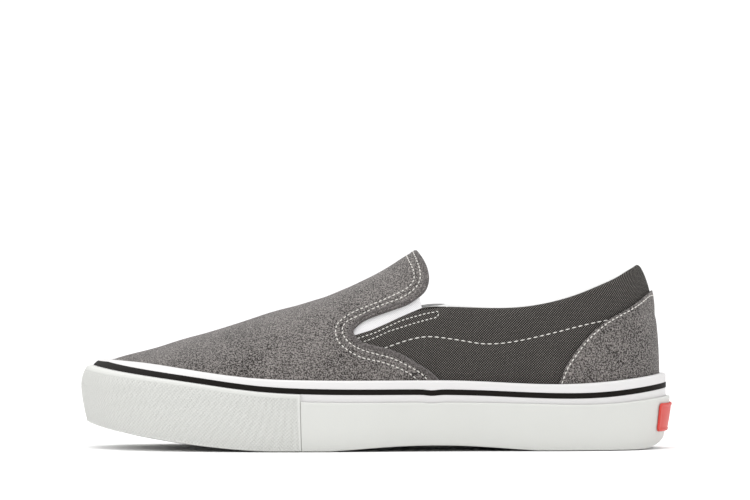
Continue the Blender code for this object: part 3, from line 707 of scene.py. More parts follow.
def collarShape(points, rows):
    # How far the canvas swells out and the lining swells in at each point.
    p = upperParts
    x = points[..., 0]
    padded = smoothStep(x, along(p["padStart"]), along(p["padFull"]))
    depth = rows - points[..., 2]
    reach = np.maximum(rows - stitchHeight(x), p["leastReach"])
    swell = np.sin(math.pi * np.clip(depth / reach, 0, 1) ** 0.6) * padded
    waves = np.sin(x * p["puckerWaves"] + 2.2 * np.sin(x * p["puckerDrift"]))
    trough = p["stitchTrough"] * np.exp(-((depth - reach) / p["troughWidth"]) ** 2)
    trough = trough * smoothStep(x, p["troughFront"], p["troughFront"] + 0.008)
    rolled = np.clip(1 - depth / p["rimReach"], 0, 1) * (depth >= -1e-6) * padded
    rolled = p["rimRound"] * (1 - np.sqrt(1 - rolled ** 2))
    inward = np.sin(math.pi * np.clip(depth / shoe["padHeight"], 0, 1) ** 0.6) * padded
    out = shoe["padBulge"] * swell + p["puckers"] * waves * swell - trough - rolled
    return out, shoe["padding"] * inward - rolled


def inMetres(line):
    return [(x / 1000, z / 1000) for x, z in line]


# What the cutters take away, drawn in the side view and closed above the shoe
above = 0.126
throat = inMetres(tongueEdge + quarterEdge) + [
    (0.0414, 0.0701), (0.0414, above), (-0.0098, above)]
behindVamp = inMetres(tongueEdge + wingEdge[1:]) + [
    (0.1445, 0.0291), (0.1445, above), (0.0201, above)]
aheadOfCounter = inMetres(counterEdge) + [(0.1503, above), (0.0, above), (0.0, 0.0271)]


def makeUpper():
    p = upperParts
    angles = ribAngles(p["frontRibs"], p["backRibs"])
    counts = upperGrid(angles)
    base = form(angles[:, None], counts)
    normal = facing(angles[:, None], counts)
    rows = rowHeight(edgeX(angles))[:, None]
    out, inward = collarShape(base, rows)
    out = out - creaseDepth(base, canvasCreases)
    outer = base + normal * out[..., None]
    inner = base - normal * (shoe["wall"] + inward)[..., None]
    sideRows = p["lowRows"] + p["middleRows"] + p["padRows"]
    cell = np.arange(counts.shape[1] - 1)
    fromEdge = np.minimum(cell, counts.shape[1] - 2 - cell)
    keep = (np.arange(len(angles) - 1) < p["frontRibs"])[:, None] | (fromEdge < sideRows - 1)
    shape = wallMesh(outer, inner, metricUv(outer, outlineLengths(angles)), keep, (0, 1))
    piece = finish("shoeUpper", shape, [canvas, lining])
    cutBy(piece, throat)
    return piece


# Suede covers on the upper
covers = {"rowsBelowBand": 2, "swellBehind": 0.04, "vampRibs": 170, "counterRibs": 150,
          "counterFront": 0.075, "counterRowsLeft": 8}


def coverGrid(angles, creases):
    # Outer and inner points of a cover, from under the band to the ridge.
    counts = upperGrid(angles)
    low = upperParts["lowRows"] - covers["rowsBelowBand"]
    counts = counts[:, low:counts.shape[1] - low]
    base = form(angles[:, None], counts)
    normal = facing(angles[:, None], counts)
    rows = rowHeight(edgeX(angles))[:, None]
    out, _ = collarShape(base, rows)
    out = np.where(base[..., 0] > covers["swellBehind"], out, 0) - creaseDepth(base, creases)
    outer = base + normal * (suedeFace + out)[..., None]
    inner = base + normal * (gap + np.minimum(out, 0))[..., None]
    return outer, inner


def makeVamp():
    ribs = covers["vampRibs"]
    angles = ribAngles(ribs, 2)[:ribs + 1]
    outer, inner = coverGrid(angles, vampCreases)
    keep = np.ones((len(angles) - 1, outer.shape[1] - 1), bool)
    shape = wallMesh(outer, inner, metricUv(outer, outlineLengths(angles)), keep, (0,))
    piece = finish("suedeVamp", shape, [suede, suede])
    cutBy(piece, behindVamp)
    return piece


def makeCounter():
    angles = ribAngles(2, covers["counterRibs"])[2:]
    angles = angles[edgeX(angles) > covers["counterFront"]]
    outer, inner = coverGrid(angles, ())
    columns = outer.shape[1] - 1
    cell = np.arange(columns)
    rows = (covers["rowsBelowBand"] + upperParts["middleRows"] + upperParts["padRows"]
            - covers["counterRowsLeft"])
    fromEdge = np.minimum(cell, columns - 1 - cell)
    keep = np.broadcast_to(fromEdge < rows, (len(angles) - 1, columns))
    shape = wallMesh(outer, inner, metricUv(outer, outlineLengths(angles)), keep, (1,))
    piece = finish("suedeCounter", shape, [suede, suede])
    cutBy(piece, aheadOfCounter)
    return piece


def levelPoints(angles, offsets, heights):
    # Points [angle][level] at these heights on the skin at these offsets.
    counts = np.concatenate([np.linspace(0, 0.3, 90), np.linspace(0.3, 0.8, 60)[1:]])
    base = form(np.asarray(angles)[:, None], counts)
    normal = facing(np.asarray(angles)[:, None], counts)
    out = np.empty(heights.shape + (3,))
    for i in range(len(angles)):
        for j in range(heights.shape[1]):
            level = base[i, :, 2] + normal[i, :, 2] * offsets[i, j]
            place = np.interp(heights[i, j], level, np.arange(len(counts)))
            k = min(int(place), len(counts) - 2)
            f = place - k
            for axis in (0, 1):
                a = base[i, k, axis] + normal[i, k, axis] * offsets[i, j]
                b = base[i, k + 1, axis] + normal[i, k + 1, axis] * offsets[i, j]
                out[i, j, axis] = a + (b - a) * f
            out[i, j, 2] = heights[i, j]
    return out


def sweep(name, angles, section, materials, closed):
    # Sweeps a closed section of (offset, height) corners round the shoe.
    corners = np.array([section(a) for a in angles])
    points = levelPoints(angles, corners[..., 0], corners[..., 1])
    return finish(name, sweptMesh(points, closed), materials)


def quarterRound(offset, height, radius, steps=5):
    # Rounded outer top corner of a section, from its face over to its top.
    turns = np.linspace(0, math.pi / 2, steps)
    return [(offset - radius * (1 - math.cos(t)), height - radius * (1 - math.sin(t)))
            for t in turns]


# Rubber strips round the sole
strips = {"ringSteps": 460, "bandRound": 0.0011, "tapeRound": 0.0007, "footRound": 0.0004,
          "jointX": 0.028, "jointSag": 0.0005, "jointHalf": 0.0035,
          "wingFoot": 0.028, "counterFoot": 0.088, "panelBlend": 0.004,
          "lipTuck": 0.0001, "lipRound": 0.0002, "lipFoot": 0.0032, "lipBlend": 0.0010,
          "backRow": 0.003, "channelEdge": 0.00012, "stripeProud": 0.0001,
          "stripeRound": 0.0002, "stripeGap": 0.00005, "tapeLeast": 0.0016, "tapeRibs": 300}


def jointSag(angle):
    # The band dips a little where its ends overlap on the outer side.
    if math.sin(angle) < 0:
        return 0.0
    away = (edgeX(angle) - strips["jointX"]) / strips["jointHalf"]
    return strips["jointSag"] * math.exp(-away * away)


def stripeEdges(angle):
    x = edgeX(angle)
    top = float(bandTop(x))
    low = float(stripeMiddle(x)) - shoe["stripe"] / 2 - jointSag(angle)
    return low, min(low + shoe["stripe"], top - 2 * gap), top


def suedeHere(x):
    # 1 where suede runs behind the band, 0 at the canvas.
    wing, counter, blend = strips["wingFoot"], strips["counterFoot"], strips["panelBlend"]
    return 1 - smoothStep(x, wing, wing + blend) + smoothStep(x, counter, counter + blend)


def foxingSection(angle):
    p = strips
    x = edgeX(angle)
    foot = float(bottomHeight(x)) + shoe["tapeLift"]
    low, high, top = stripeEdges(angle)
    wide = shoe["widest"] * top
    lip = gap + (suedeFace - p["lipTuck"]) * float(suedeHere(x))
    out, deep = foxingFace, foxingFace - shoe["stripeDepth"]
    bevel, tip, ledge = p["channelEdge"], p["lipRound"], top - p["lipFoot"]
    corners = [(gap, foot), (out, foot), (out, 0.5 * (foot + wide)), (out, wide),
               (out, low - bevel), (out - bevel, low), (deep, low), (deep, high),
               (out - bevel, high), (out, high + bevel)]
    corners += quarterRound(out, top, min(p["bandRound"], 0.7 * (top - high)))
    corners += [(lip + tip, top), (lip, top - tip), (lip, ledge), (gap, ledge - p["lipBlend"]),
                (gap, wide - p["backRow"]), (gap, 0.5 * (foot + wide))]
    return corners


def stripeSection(angle):
    low, high, _ = stripeEdges(angle)
    back = foxingFace - shoe["stripeDepth"] + strips["stripeProud"]
    front = foxingFace + strips["stripeProud"]
    bend, spare = strips["stripeRound"], strips["stripeGap"]
    return [(back, low + spare), (front - bend, low + spare), (front, low + bend),
            (front, high - bend), (front - bend, high - spare), (back, high - spare)]


def tapeSection(angle):
    x = edgeX(angle)
    foot = float(bottomHeight(x)) + shoe["tapeLift"]
    top = float(tapeTop(x)) - jointSag(angle)
    wide = min(shoe["widest"] * float(bandTop(x)), top - strips["tapeLeast"])
    r = strips["footRound"]
    corners = [(tapeBack, foot), (sideStack - r, foot), (sideStack - 0.3 * r, foot + 0.3 * r),
               (sideStack, foot + r), (sideStack, 0.5 * (foot + wide)), (sideStack, wide)]
    corners += quarterRound(sideStack, top, strips["tapeRound"])
    corners += [(tapeBack, top), (tapeBack, wide), (tapeBack, 0.5 * (foot + wide))]
    return corners


def roundedEdge(edge, radius):
    # How far a face falls back near its edge, as a quarter round.
    return radius * (1 - np.sqrt(1 - (1 - np.clip(edge / radius, 0, 1)) ** 2))


def sidePanel(name, angles, heights, back, front, panelMaterial, sharp):
    # Panel on the sole's side with a smooth back and a worked front face.
    flat = np.full((len(angles), 1), back)
    offsets = np.concatenate([flat, front, flat], axis=1)
    levels = np.concatenate([heights[:, :1], heights, heights[:, -1:]], axis=1)
    shape = sweptMesh(levelPoints(angles, offsets, levels), False)
    return finish(name, shape, [panelMaterial], sharp)


# Toe bumper: crossed diagonal grooves below a plain border
bumper = {"pitch": 0.0018, "relief": 0.00036, "grooveShare": 0.46, "samples": 4.6, "rows": 62,
          "topBorder": 0.0017, "footBorder": 0.0006, "endBorder": 0.0012, "blend": 0.0004,
          "edge": 0.0007, "edgeFall": 0.9, "footSlope": 2.5, "belowStripe": 0.0002}
bumperEndAngle = math.acos(1 - 2 * shoe["bumperEnd"] / shoe["length"])


def makeBumper():
    p = bumper
    fine = np.linspace(-bumperEndAngle, bumperEndAngle, 1500)
    length = outlineLengths(fine)
    count = int(length[-1] / p["pitch"] * p["samples"])
    run = np.linspace(0, length[-1], count)
    angles = np.interp(run, length, fine)
    foot = bottomHeight(edgeX(angles)) + shoe["tapeLift"]
    top = np.array([stripeEdges(a)[0] for a in angles]) - p["belowStripe"]
    heights = foot[:, None] + (top - foot)[:, None] * np.linspace(0, 1, p["rows"])
    fromTop, fromFoot = top[:, None] - heights, heights - foot[:, None]
    fromEnd = np.minimum(run, length[-1] - run)[:, None]
    a = (run[:, None] + fromTop) / p["pitch"]
    b = (run[:, None] - fromTop) / p["pitch"]
    ridge = np.minimum(np.abs(a % 1 - 0.5), np.abs(b % 1 - 0.5)) * 2
    inside = [smoothStep(away, border, border + p["blend"]) for away, border in (
        (fromTop, p["topBorder"]), (fromFoot, p["footBorder"]), (fromEnd, p["endBorder"]))]
    plain = np.minimum(inside[0], np.minimum(inside[1], inside[2]))
    groove = (1 - smoothStep(ridge, 0.0, p["grooveShare"])) * plain
    edge = np.minimum(np.minimum(fromTop, p["footSlope"] * fromFoot), fromEnd)
    front = sideStack - p["relief"] * groove - p["edgeFall"] * roundedEdge(edge, p["edge"])
    piece = sidePanel("toeBumper", angles, heights, tapeBack, front, bumperRubber, 60)
    # The groove mask is stored for the material, which paints shade into the grooves with it.
    mask = piece.data.attributes.new("groove", "FLOAT", "POINT")
    values = np.pad(groove, ((0, 0), (1, 1))).astype(np.float32)
    mask.data.foreach_set("value", values.reshape(-1))
    return piece


# Heel tab: a plain plate with a raised border
tab = {"halfWidth": 0.015, "foot": 0.0088, "height": 0.0138, "thickness": 0.0009,
       "border": 0.0012, "blend": 0.0005, "sink": 0.00028, "corner": 0.0018,
       "edge": 0.00035, "ribs": 110, "rows": 34}


def makeTab():
    p = tab
    reach = p["halfWidth"] / shoe["halfBall"]
    angles = np.linspace(math.pi - reach, math.pi + reach, p["ribs"])
    length = outlineLengths(angles)
    side = np.minimum(length, length[-1] - length)
    inCorner = np.clip(p["corner"] - side, 0, None)
    inset = p["corner"] - np.sqrt(p["corner"] ** 2 - inCorner ** 2)
    low = (p["foot"] + inset)[:, None]
    high = (p["foot"] + p["height"] - inset)[:, None]
    heights = low + (high - low) * np.linspace(0, 1, p["rows"])
    edge = np.minimum(np.minimum(heights - low, high - heights), side[:, None])
    sunk = p["sink"] * smoothStep(edge, p["border"], p["border"] + p["blend"])
    back = sideStack + gap
    front = back + p["thickness"] - roundedEdge(edge, p["edge"]) - sunk
    return sidePanel("heelTab", angles, heights, back, front, redRubber, 50)


# How finely the two plates across the shoe are divided
plateParts = {"ribs": 300, "steps": 10}


def plate(name, under, over, edge, materials):
    # Closed plate across the shoe; the edge gives a rib's corners, foot to top.
    steps = plateParts["steps"]
    angles = np.linspace(0, 2 * math.pi, plateParts["ribs"] + 1)[:-1]
    rims = edge(angles)
    sx = shoe["spineShare"] * edgeX(angles)
    middle = np.stack([sx, toeLean(sx), np.zeros_like(sx)], axis=1)
    columns = []
    for k in range(steps, 0, -1):
        point = rims[:, 0] + (middle - rims[:, 0]) * (k / steps)
        point[:, 2] = under(point[:, 0])
        columns.append(point)
    columns += [rims[:, k] for k in range(rims.shape[1])]
    for k in range(1, steps + 1):
        point = rims[:, -1] + (middle - rims[:, -1]) * (k / steps)
        point[:, 2] = over(point[:, 0], k / steps)
        columns.append(point)
    points = np.stack(columns, axis=1)
    shape = gridMesh(points, points[..., :2], True, False)
    bmesh.ops.remove_doubles(shape, verts=shape.verts, dist=2e-6)
    spine = [e for e in shape.edges if e.is_boundary]
    bmesh.ops.holes_fill(shape, edges=spine)
    bmesh.ops.recalc_face_normals(shape, faces=shape.faces)
    return finish(name, shape, materials)


# Outsole: cross grooves in four stretches, given as shares of the length
tread = {"width": 0.0028, "depth": 0.0016, "pitch": 0.0085, "margin": 0.011, "taper": 0.7,
         "footRound": 0.0006}
treadStretches = ((along(0.09), rollStart), (along(0.43), along(0.56)),
                  (along(0.68), heelStart), (along(0.87), along(0.935)))


def makeOutsole():
    p = tread

    def edge(angles):
        x = edgeX(angles)
        foot = bottomHeight(x)
        heights = np.stack([foot, foot + p["footRound"], bedHeight(x)], axis=1)
        offsets = np.broadcast_to([-p["footRound"], 0, 0], heights.shape)
        return levelPoints(angles, offsets, heights)

    sole = plate("groovedSole", bottomHeight, lambda x, share: bedHeight(x), edge, [whiteRubber])
    shape = bmesh.new()
    for start, end in treadStretches:
        for k in range(int((end - start) / p["pitch"])):
            x = start + (k + 0.5) * p["pitch"]
            angle = math.acos(-x / half)
            z = float(bottomHeight(x))
            slope = float(bottomHeight(x + 0.001) - bottomHeight(x - 0.001)) / 0.002
            inset = sideStack + shoe["sideLean"] + p["margin"]
            ends = (float(outlineY(angle)) + inset, float(outlineY(-angle)) - inset)
            for corner in bmesh.ops.create_cube(shape, size=1)["verts"]:
                across = p["width"] * corner.co.x * (1 if corner.co.z < 0 else p["taper"])
                depth = p["depth"] if corner.co.z > 0 else -p["depth"]
                corner.co = (x + across - slope * depth, ends[int(corner.co.y > 0)],
                             z + depth + slope * across)
    booleanBy(sole, [addShape("grooves", shape)], angle=35)
    return sole


# Footbed: a soft plate with a rounded, slightly raised rim
footbedParts = {"rim": 0.0010, "rimStart": 0.0003, "dish": 0.0008}


def makeFootbed():
    p = footbedParts
    inside = -shoe["wall"] - gap

    def edge(angles):
        x = edgeX(angles)
        low = bedHeight(x) + gap
        high = low + shoe["insole"]
        heights = np.stack([low, high - p["rim"], high - p["rimStart"], high], axis=1)
        offsets = np.broadcast_to(
            [inside, inside, inside - p["rimStart"], inside - p["rim"]], heights.shape)
        return levelPoints(angles, offsets, heights)

    def over(x, share):
        dish = p["dish"] * (1 - (1 - share) ** 3)
        return bedHeight(x) + gap + shoe["insole"] - dish

    return plate("footbed", lambda x: bedHeight(x) + gap, over, edge, [lining])


ring = np.linspace(0, 2 * math.pi, strips["ringSteps"] + 1)[:-1]
pieces = {}
pieces["upper"] = makeUpper()
print("upper made")
pieces["vamp"] = makeVamp()
pieces["heel_counter"] = makeCounter()
print("suede made")
pieces["foxing"] = sweep("foxingBand", ring, foxingSection, [bandRubber], True)
pieces["foxing_stripe"] = sweep("blackStripe", ring, stripeSection, [blackRubber], True)
joint = 0.2 * gap / (half * math.sin(bumperEndAngle))
tapeStart, tapeEnd = bumperEndAngle + joint, 2 * math.pi - bumperEndAngle - joint
tapeAngles = np.linspace(tapeStart, tapeEnd, strips["tapeRibs"])
pieces["foxing_tape"] = sweep("lowerTape", tapeAngles, tapeSection, [whiteRubber], False)
pieces["toe_bumper"] = makeBumper()
pieces["heel_tab"] = makeTab()
pieces["outsole"] = makeOutsole()
pieces["insole"] = makeFootbed()
print("sole made")


def shifted(line, away):
    # The (x, z) line set off to its left.
    line = np.asarray(line, float)
    run = np.gradient(line, axis=0)
    run /= np.linalg.norm(run, axis=1)[:, None]
    return line + away * np.stack([-run[:, 1], run[:, 0]], axis=1)


# How a line crosses the ridge: where it leaves the side view, and its steps from there
crossing = {"belowRidge": 0.0035, "steps": 15, "rounds": 34, "from": 0.32, "to": 0.68}


def overTop(line, offset):
    # A line that starts at the ridge, laid over both sides as one path.
    p = crossing
    line = np.asarray(line, float)
    below = line[:, 1] < ridgeHeight(line[:, 0]) + offset - p["belowRidge"]
    first = int(np.argmax(below))
    angle, count = onSide(line[first:], offset)
    other, otherCount = onSide(line[first:], offset, True)

    def across(sign, start):
        counts = np.linspace(start, 1, p["steps"] + 1)[1:]
        low = np.full(p["steps"], p["from"] * math.pi)
        high = np.full(p["steps"], p["to"] * math.pi)
        order = np.argsort(line[:, 1])
        for _ in range(p["rounds"]):
            middle = (low + high) / 2
            spot = skin(sign * middle, counts, np.full(p["steps"], offset))
            behind = spot[:, 0] > np.interp(spot[:, 2], line[order, 1], line[order, 0])
            low, high = np.where(behind, low, middle), np.where(behind, middle, high)
        return sign * (low + high) / 2, counts

    nearAngle, nearCount = across(1, count[0])
    farAngle, farCount = across(-1, otherCount[0])
    angles = np.concatenate([other[::-1], farAngle[:-1], nearAngle[::-1], angle])
    counts = np.concatenate([otherCount[::-1], farCount[:-1], nearCount[::-1], count])
    return angles, counts


def tube(name, centres, normals, halfWidth, halfHeight, materials, turns):
    # Flattened cord along a path; its size may change from point to point.
    run = np.gradient(centres, axis=0)
    run /= np.linalg.norm(run, axis=1)[:, None]
    across = np.cross(run, normals)
    across /= np.linalg.norm(across, axis=1)[:, None]
    up = np.cross(across, run)
    turn = np.linspace(0, 2 * math.pi, turns + 1)[:-1]
    wide = np.broadcast_to(halfWidth, len(centres))[:, None, None]
    high = np.broadcast_to(halfHeight, len(centres))[:, None, None]
    points = (centres[:, None] + across[:, None] * wide * np.cos(turn)[:, None]
              + up[:, None] * high * np.sin(turn)[:, None])
    return finish(name, sweptMesh(points, False), materials, 60)


# Rolled binding along the tongue and the wing
binding = {"halfWidth": 0.00145, "inset": 0.0012, "proud": 0.00035, "edgeBelow": 0.0002,
           "wingBelow": 0.0001, "tongueStart": 0.0585, "tongueFull": 0.0625,
           "spacing": 0.0008, "turns": 20}


def makeBinding():
    p = binding
    # The last point ends the binding just below the band's top
    edge = evenLine(tongueEdge + wingEdge[1:-1] + ((32.6, 32.0),), p["spacing"])
    line = shifted(edge, -p["inset"])
    angles, counts = overTop(line, suedeFace)
    base, normal = form(angles, counts), facing(angles, counts)
    onTongue = smoothStep(base[:, 2], p["tongueStart"], p["tongueFull"])
    top = suedeFace + p["proud"]
    low = -(shoe["wall"] + p["edgeBelow"]) * onTongue - p["wingBelow"] * (1 - onTongue)
    centres = base + normal * ((top + low) / 2)[:, None]
    return tube("rolledBinding", centres, normal, p["halfWidth"], (top - low) / 2,
                [bindingSuede], p["turns"])


# Raised seam between the two stitch rows of the vamp
seam = {"halfWidth": 0.0011, "halfHeight": 0.0008, "proud": 0.00032, "spacing": 0.0010,
        "turns": 12}
seamLine = ((18.0, 94.3), (20.1, 88.6), (20.3, 84.0), (18.4, 80.4), (13.6, 76.6),
            (6.5, 73.2), (-2.0, 69.8), (-10.6, 66.1), (-16.2, 62.6), (-17.6, 57.6),
            (-16.0, 54.0), (-12.4, 50.7), (-6.0, 47.4), (0.4, 45.9), (7.2, 44.1),
            (13.0, 41.6), (18.6, 38.7), (23.0, 35.6), (25.2, 33.4))


def makeSeam():
    p = seam
    angles, counts = overTop(evenLine(seamLine, p["spacing"]), suedeFace)
    base, normal = form(angles, counts), facing(angles, counts)
    middle = suedeFace - creaseDepth(base, vampCreases) + p["proud"] - p["halfHeight"]
    return tube("vampSeam", base + normal * middle[:, None], normal, p["halfWidth"],
                p["halfHeight"], [suede], p["turns"])


# Stitches: small beads of thread along lines laid on the skin
stitching = {"thread": 0.00027, "doublePitch": 0.0024, "doubleLength": 0.0016,
             "singlePitch": 0.0032, "singleLength": 0.0023, "boxPitch": 0.0021,
             "boxLength": 0.0014, "boxThread": 0.9, "counterInset": 0.0012,
             "proud": 0.00012, "boxProud": 0.00018, "spacing": 0.0008, "boxSpacing": 0.0005,
             "collarSpacing": 0.0010, "heelSteps": 14, "heelMiss": 0.0004}
outerRow = ((14.6, 95.6), (17.3, 90.6), (18.9, 86.3), (18.6, 82.6), (16.2, 79.6),
            (11.6, 76.8), (5.2, 73.9), (-3.3, 70.5), (-11.2, 67.3), (-15.6, 64.4),
            (-18.3, 61.8), (-19.2, 57.4), (-17.9, 53.6), (-14.2, 50.0), (-10.2, 47.3),
            (-5.5, 45.4), (0.9, 44.0), (7.2, 42.2), (12.6, 40.0), (18.0, 36.9), (20.9, 34.4))
innerRow = ((18.0, 97.4), (21.0, 90.4), (22.0, 86.0), (21.1, 81.3), (18.5, 78.2),
            (13.9, 75.0), (7.5, 72.4), (-1.2, 69.1), (-9.6, 65.2), (-14.3, 62.6),
            (-16.0, 59.6), (-14.9, 55.6), (-11.4, 52.0), (-6.0, 49.2), (-0.1, 47.5),
            (7.2, 45.6), (13.1, 43.1), (18.5, 40.2), (23.4, 36.9), (26.2, 33.8))
boxStitch = ((-8.0, 54.9), (0.4, 57.6), (6.3, 60.3), (12.1, 62.8), (17.5, 64.5),
             (24.4, 66.5), (30.4, 67.5), (30.8, 66.4), (30.3, 64.8), (25.9, 63.8),
             (20.0, 62.2), (13.6, 60.1), (6.7, 58.1), (2.3, 56.1), (-1.1, 54.7),
             (-5.0, 53.4))


def stitchNodes():
    # Beads of thread at an even pitch along a line, turned to follow it.
    group = bpy.data.node_groups.new("stitchRow", "GeometryNodeTree")
    face = group.interface
    face.new_socket("Line", in_out="INPUT", socket_type="NodeSocketGeometry")
    for label in ("Pitch", "Length", "Radius"):
        face.new_socket(label, in_out="INPUT", socket_type="NodeSocketFloat")
    face.new_socket("Thread", in_out="INPUT", socket_type="NodeSocketMaterial")
    face.new_socket("Stitches", in_out="OUTPUT", socket_type="NodeSocketGeometry")
    tree = Tree(group)
    given = group.nodes.new("NodeGroupInput").outputs
    sink = group.nodes.new("NodeGroupOutput").inputs
    curve = tree.add("GeometryNodeMeshToCurve", Mesh=given["Line"]).outputs[0]
    even = tree.add("GeometryNodeResampleCurve", set_mode="LENGTH", Curve=curve,
                    Length=given["Pitch"])
    bead = tree.add("GeometryNodeMeshUVSphere", Segments=8, Rings=7, Radius=0.5)
    turned = tree.add("FunctionNodeAlignRotationToVector", set_axis="Z",
                      Vector=tree.add("GeometryNodeInputTangent").outputs[0])
    thick = tree.math("MULTIPLY", given["Radius"], 2.0)
    size = tree.add("ShaderNodeCombineXYZ", X=thick, Y=thick, Z=given["Length"])
    spots = tree.add("GeometryNodeInstanceOnPoints", Points=even.outputs[0],
                     Instance=bead.outputs[0], Rotation=turned.outputs[0],
                     Scale=size.outputs[0])
    real = tree.add("GeometryNodeRealizeInstances", Geometry=spots.outputs[0])
    smooth = tree.add("GeometryNodeSetShadeSmooth", Geometry=real.outputs[0])
    done = tree.add("GeometryNodeSetMaterial", Geometry=smooth.outputs[0],
                    Material=given["Thread"])
    tree.link(done.outputs[0], sink[0])
    return group


def stitchRow(name, group, paths, pitch, length, radius):
    # One piece with a row of stitches along each path of points.
    mesh = bpy.data.meshes.new(name)
    points, edges = [], []
    for path in paths:
        edges += [(len(points) + k, len(points) + k + 1) for k in range(len(path) - 1)]
        points += [tuple(p) for p in path]
    mesh.from_pydata(points, edges, [])
    made = addObject(name, mesh)
    modifier = made.modifiers.new("stitches", "NODES")
    modifier.node_group = group
    values = {"Pitch": pitch, "Length": length, "Radius": radius, "Thread": thread}
    for item in group.interface.items_tree:
        if item.name in values and item.in_out == "INPUT":
            modifier[item.identifier] = values[item.name]
    applyModifiers(made)
    return made


def swellAt(angles, counts):
    return collarShape(form(angles, counts), rowHeight(edgeX(angles)))[0]


def laidOn(angles, counts, offset, creases=()):
    # Points of a line at this height over the skin, sunk where a crease runs.
    base, normal = form(angles, counts), facing(angles, counts)
    return base + normal * (offset - creaseDepth(base, creases))[:, None]


def onCanvas(line, inner, proud):
    angles, counts = onSide(line, 0, inner)
    return laidOn(angles, counts, swellAt(angles, counts) + proud, canvasCreases)


def roundHeel(line):
    # Up the outer side as far as the line still lies on it, across, and down the inner.
    p = stitching
    near, nearCount = onSide(line, suedeFace)
    far, farCount = onSide(line, suedeFace, True)
    spot = skin(near, nearCount, np.full(len(line), suedeFace))
    off = np.hypot(*(spot[:, (0, 2)] - line).T) > p["heelMiss"]
    last = int(np.argmax(off)) or len(line)
    near, nearCount = near[:last], nearCount[:last]
    far, farCount = 2 * math.pi + far[:last], farCount[:last]
    across = np.linspace(near[-1], far[-1], p["heelSteps"])[1:-1]
    acrossCount = np.linspace(nearCount[-1], farCount[-1], p["heelSteps"])[1:-1]
    angles = np.concatenate([near, across, far[::-1]])
    counts = np.concatenate([nearCount, acrossCount, farCount[::-1]])
    return laidOn(angles, counts, suedeFace + swellAt(angles, counts) + p["proud"])


def makeStitches():
    p = stitching
    group = stitchNodes()
    rows = [overTop(evenLine(row, p["spacing"]), suedeFace) for row in (outerRow, innerRow)]
    vamp = [laidOn(*row, suedeFace + p["proud"], vampCreases) for row in rows]
    sides = (False, True)
    box = evenLine(boxStitch, p["boxSpacing"], False)
    collar = evenLine(collarStitch[:-1], p["collarSpacing"])
    counter = shifted(evenLine(counterEdge[:-1], p["spacing"]), -p["counterInset"])
    double = (p["doublePitch"], p["doubleLength"], p["thread"])
    return [
        stitchRow("vampStitches", group, vamp, *double),
        stitchRow("quarterStitches", group, [onCanvas(box, k, p["boxProud"]) for k in sides],
                  p["boxPitch"], p["boxLength"], p["thread"] * p["boxThread"]),
        stitchRow("collarStitches", group, [onCanvas(collar, k, p["proud"]) for k in sides],
                  p["singlePitch"], p["singleLength"], p["thread"]),
        stitchRow("counterStitches", group, [roundHeel(counter)], *double)]


# Elastic gores in the slots between the tongue and the quarters
goreParts = {"depth": 0.0006, "tuck": 0.0002, "steps": 60, "margin": 0.004,
             "low": 0.050, "high": 0.0795}


def makeGore(name, inner):
    p = goreParts
    steps = p["steps"]
    line = np.array(tongueEdge[7:] + quarterEdge[:6], float) / 1000
    xs = np.linspace(line[:, 0].min() - p["margin"], line[:, 0].max() + p["margin"], steps)
    zs = np.linspace(p["low"], p["high"], steps)
    uv = np.stack(np.meshgrid(xs, zs, indexing="ij"), axis=-1)
    angles, counts = onSide(uv.reshape(-1, 2), -p["depth"], inner)
    base, normal = form(angles, counts), facing(angles, counts)
    outer = (base - normal * p["depth"]).reshape(steps, steps, 3)
    back = (base - normal * (p["depth"] + shoe["elastic"])).reshape(steps, steps, 3)
    keep = np.ones((steps - 1, steps - 1), bool)
    piece = finish(name, wallMesh(outer, back, uv, keep, ()), [elastic, elastic])
    top, low = shifted(line[:7], -p["tuck"]), shifted(line[7:], -p["tuck"])
    cutBy(piece, np.concatenate([top, low]), "INTERSECT")
    return piece


pieces["gore_lateral"] = makeGore("outerGore", False)
pieces["gore_medial"] = makeGore("innerGore", True)
pieces["binding"] = makeBinding()
pieces["seam"] = makeSeam()
for piece in makeStitches():
    pieces[piece.name] = piece
print("details made")


# Studio: pale floor, soft light and the photograph's camera
studio = {"floorReach": 4, "floorBack": 6, "floorTone": 0.97, "skyLow": 0.58, "skyHigh": 1.42,
          "backdrop": 1.1, "lens": 391.6, "distance": 4.0, "rise": 1.1,
          "cameraX": -0.0001, "cameraZ": 0.0971}
# Name, place, aim, size and power of each light
studioLights = (("topLight", (-0.10, -0.15, 1.6), (0, 0, 0), 1.6, 12.0),
                ("frontLight", (-0.9, -1.9, 1.1), (0, 0, 0.05), 1.2, 4.0))


def makeFloor():
    reach, back = studio["floorReach"], studio["floorBack"]
    mesh = bpy.data.meshes.new("floor")
    corners = [(-reach, -reach, 0), (reach, -reach, 0), (reach, back, 0), (-reach, back, 0)]
    mesh.from_pydata(corners, [], [(0, 1, 2, 3)])
    pale, _, shader = newMaterial("paleFloor", 0.9, Specular_IOR_Level=0.1)
    shader.inputs["Base Color"].default_value = grey(studio["floorTone"])
    mesh.materials.append(pale)
    addObject("floor", mesh)


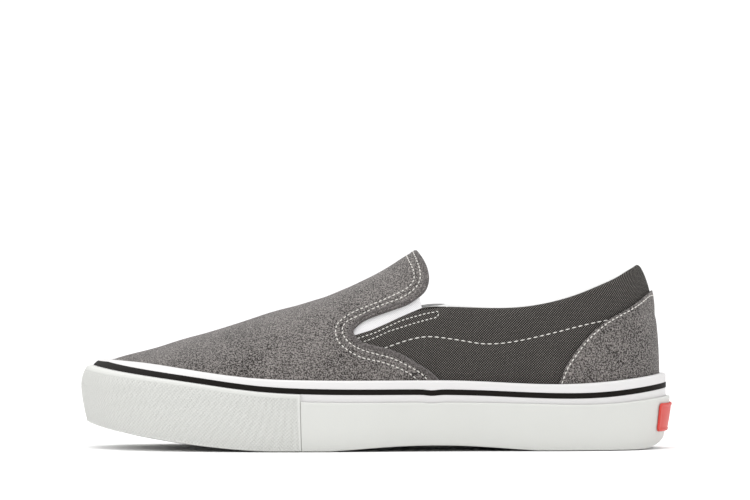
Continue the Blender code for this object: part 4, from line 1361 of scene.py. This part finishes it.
def makeSky():
    # Brighter overhead than below, and plain white where the camera sees it.
    world = bpy.data.worlds.new("softSky")
    bpy.context.scene.world = world
    world.use_nodes = True
    tree = Tree(world.node_tree)
    up = tree.add("ShaderNodeSeparateXYZ",
                  Vector=tree.add("ShaderNodeTexCoord").outputs["Generated"]).outputs[2]
    sky = tree.add("ShaderNodeMapRange", Value=up, To_Min=studio["skyLow"],
                   To_Max=studio["skyHigh"]).outputs["Result"]
    seen = tree.add("ShaderNodeLightPath").outputs["Is Camera Ray"]
    glow = tree.math("MAXIMUM", sky, tree.math("MULTIPLY", seen, studio["backdrop"]))
    background = world.node_tree.nodes["Background"].inputs
    background["Color"].default_value = (1, 1, 1, 1)
    tree.link(glow, background["Strength"])


def makeLights():
    for name, place, aim, size, power in studioLights:
        light = bpy.data.lights.new(name, "AREA")
        light.size = size
        light.energy = power
        lamp = addObject(name, light)
        lamp.location = place
        away = np.array(place) - np.array(aim)
        lamp.rotation_euler = (math.acos(away[2] / np.linalg.norm(away)), 0,
                               math.atan2(away[1], away[0]) + math.pi / 2)


def makeCamera():
    shot = bpy.data.cameras.new("camera")
    shot.lens = studio["lens"]
    shot.clip_end = 20
    camera = addObject("camera", shot)
    rise, distance = math.radians(studio["rise"]), studio["distance"]
    camera.location = (studio["cameraX"], -distance * math.cos(rise),
                       studio["cameraZ"] + distance * math.sin(rise))
    camera.rotation_euler = (math.pi / 2 - rise, 0, 0)
    bpy.context.scene.camera = camera


slots = {"upper": "grey_canvas", "vamp": "grey_suede", "heel_counter": "grey_suede",
         "foxing": "white_rubber", "foxing_stripe": "black_rubber",
         "foxing_tape": "white_rubber", "toe_bumper": "white_rubber",
         "heel_tab": "red_rubber", "outsole": "white_rubber", "insole": "white_cloth",
         "gore_lateral": "white_cloth", "gore_medial": "white_cloth"}
for node, piece in pieces.items():
    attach(piece, "root")
    if node in slots:
        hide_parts(node)
bpy.context.scene.view_settings.view_transform = "Standard"
makeFloor()
makeSky()
makeLights()
makeCamera()
bpy.context.view_layer.update()
print("studio made")
triangles = {piece.name: sum(len(face.vertices) - 2 for face in piece.data.polygons)
             for piece in pieces.values()}
print("triangles", triangles, sum(triangles.values()))
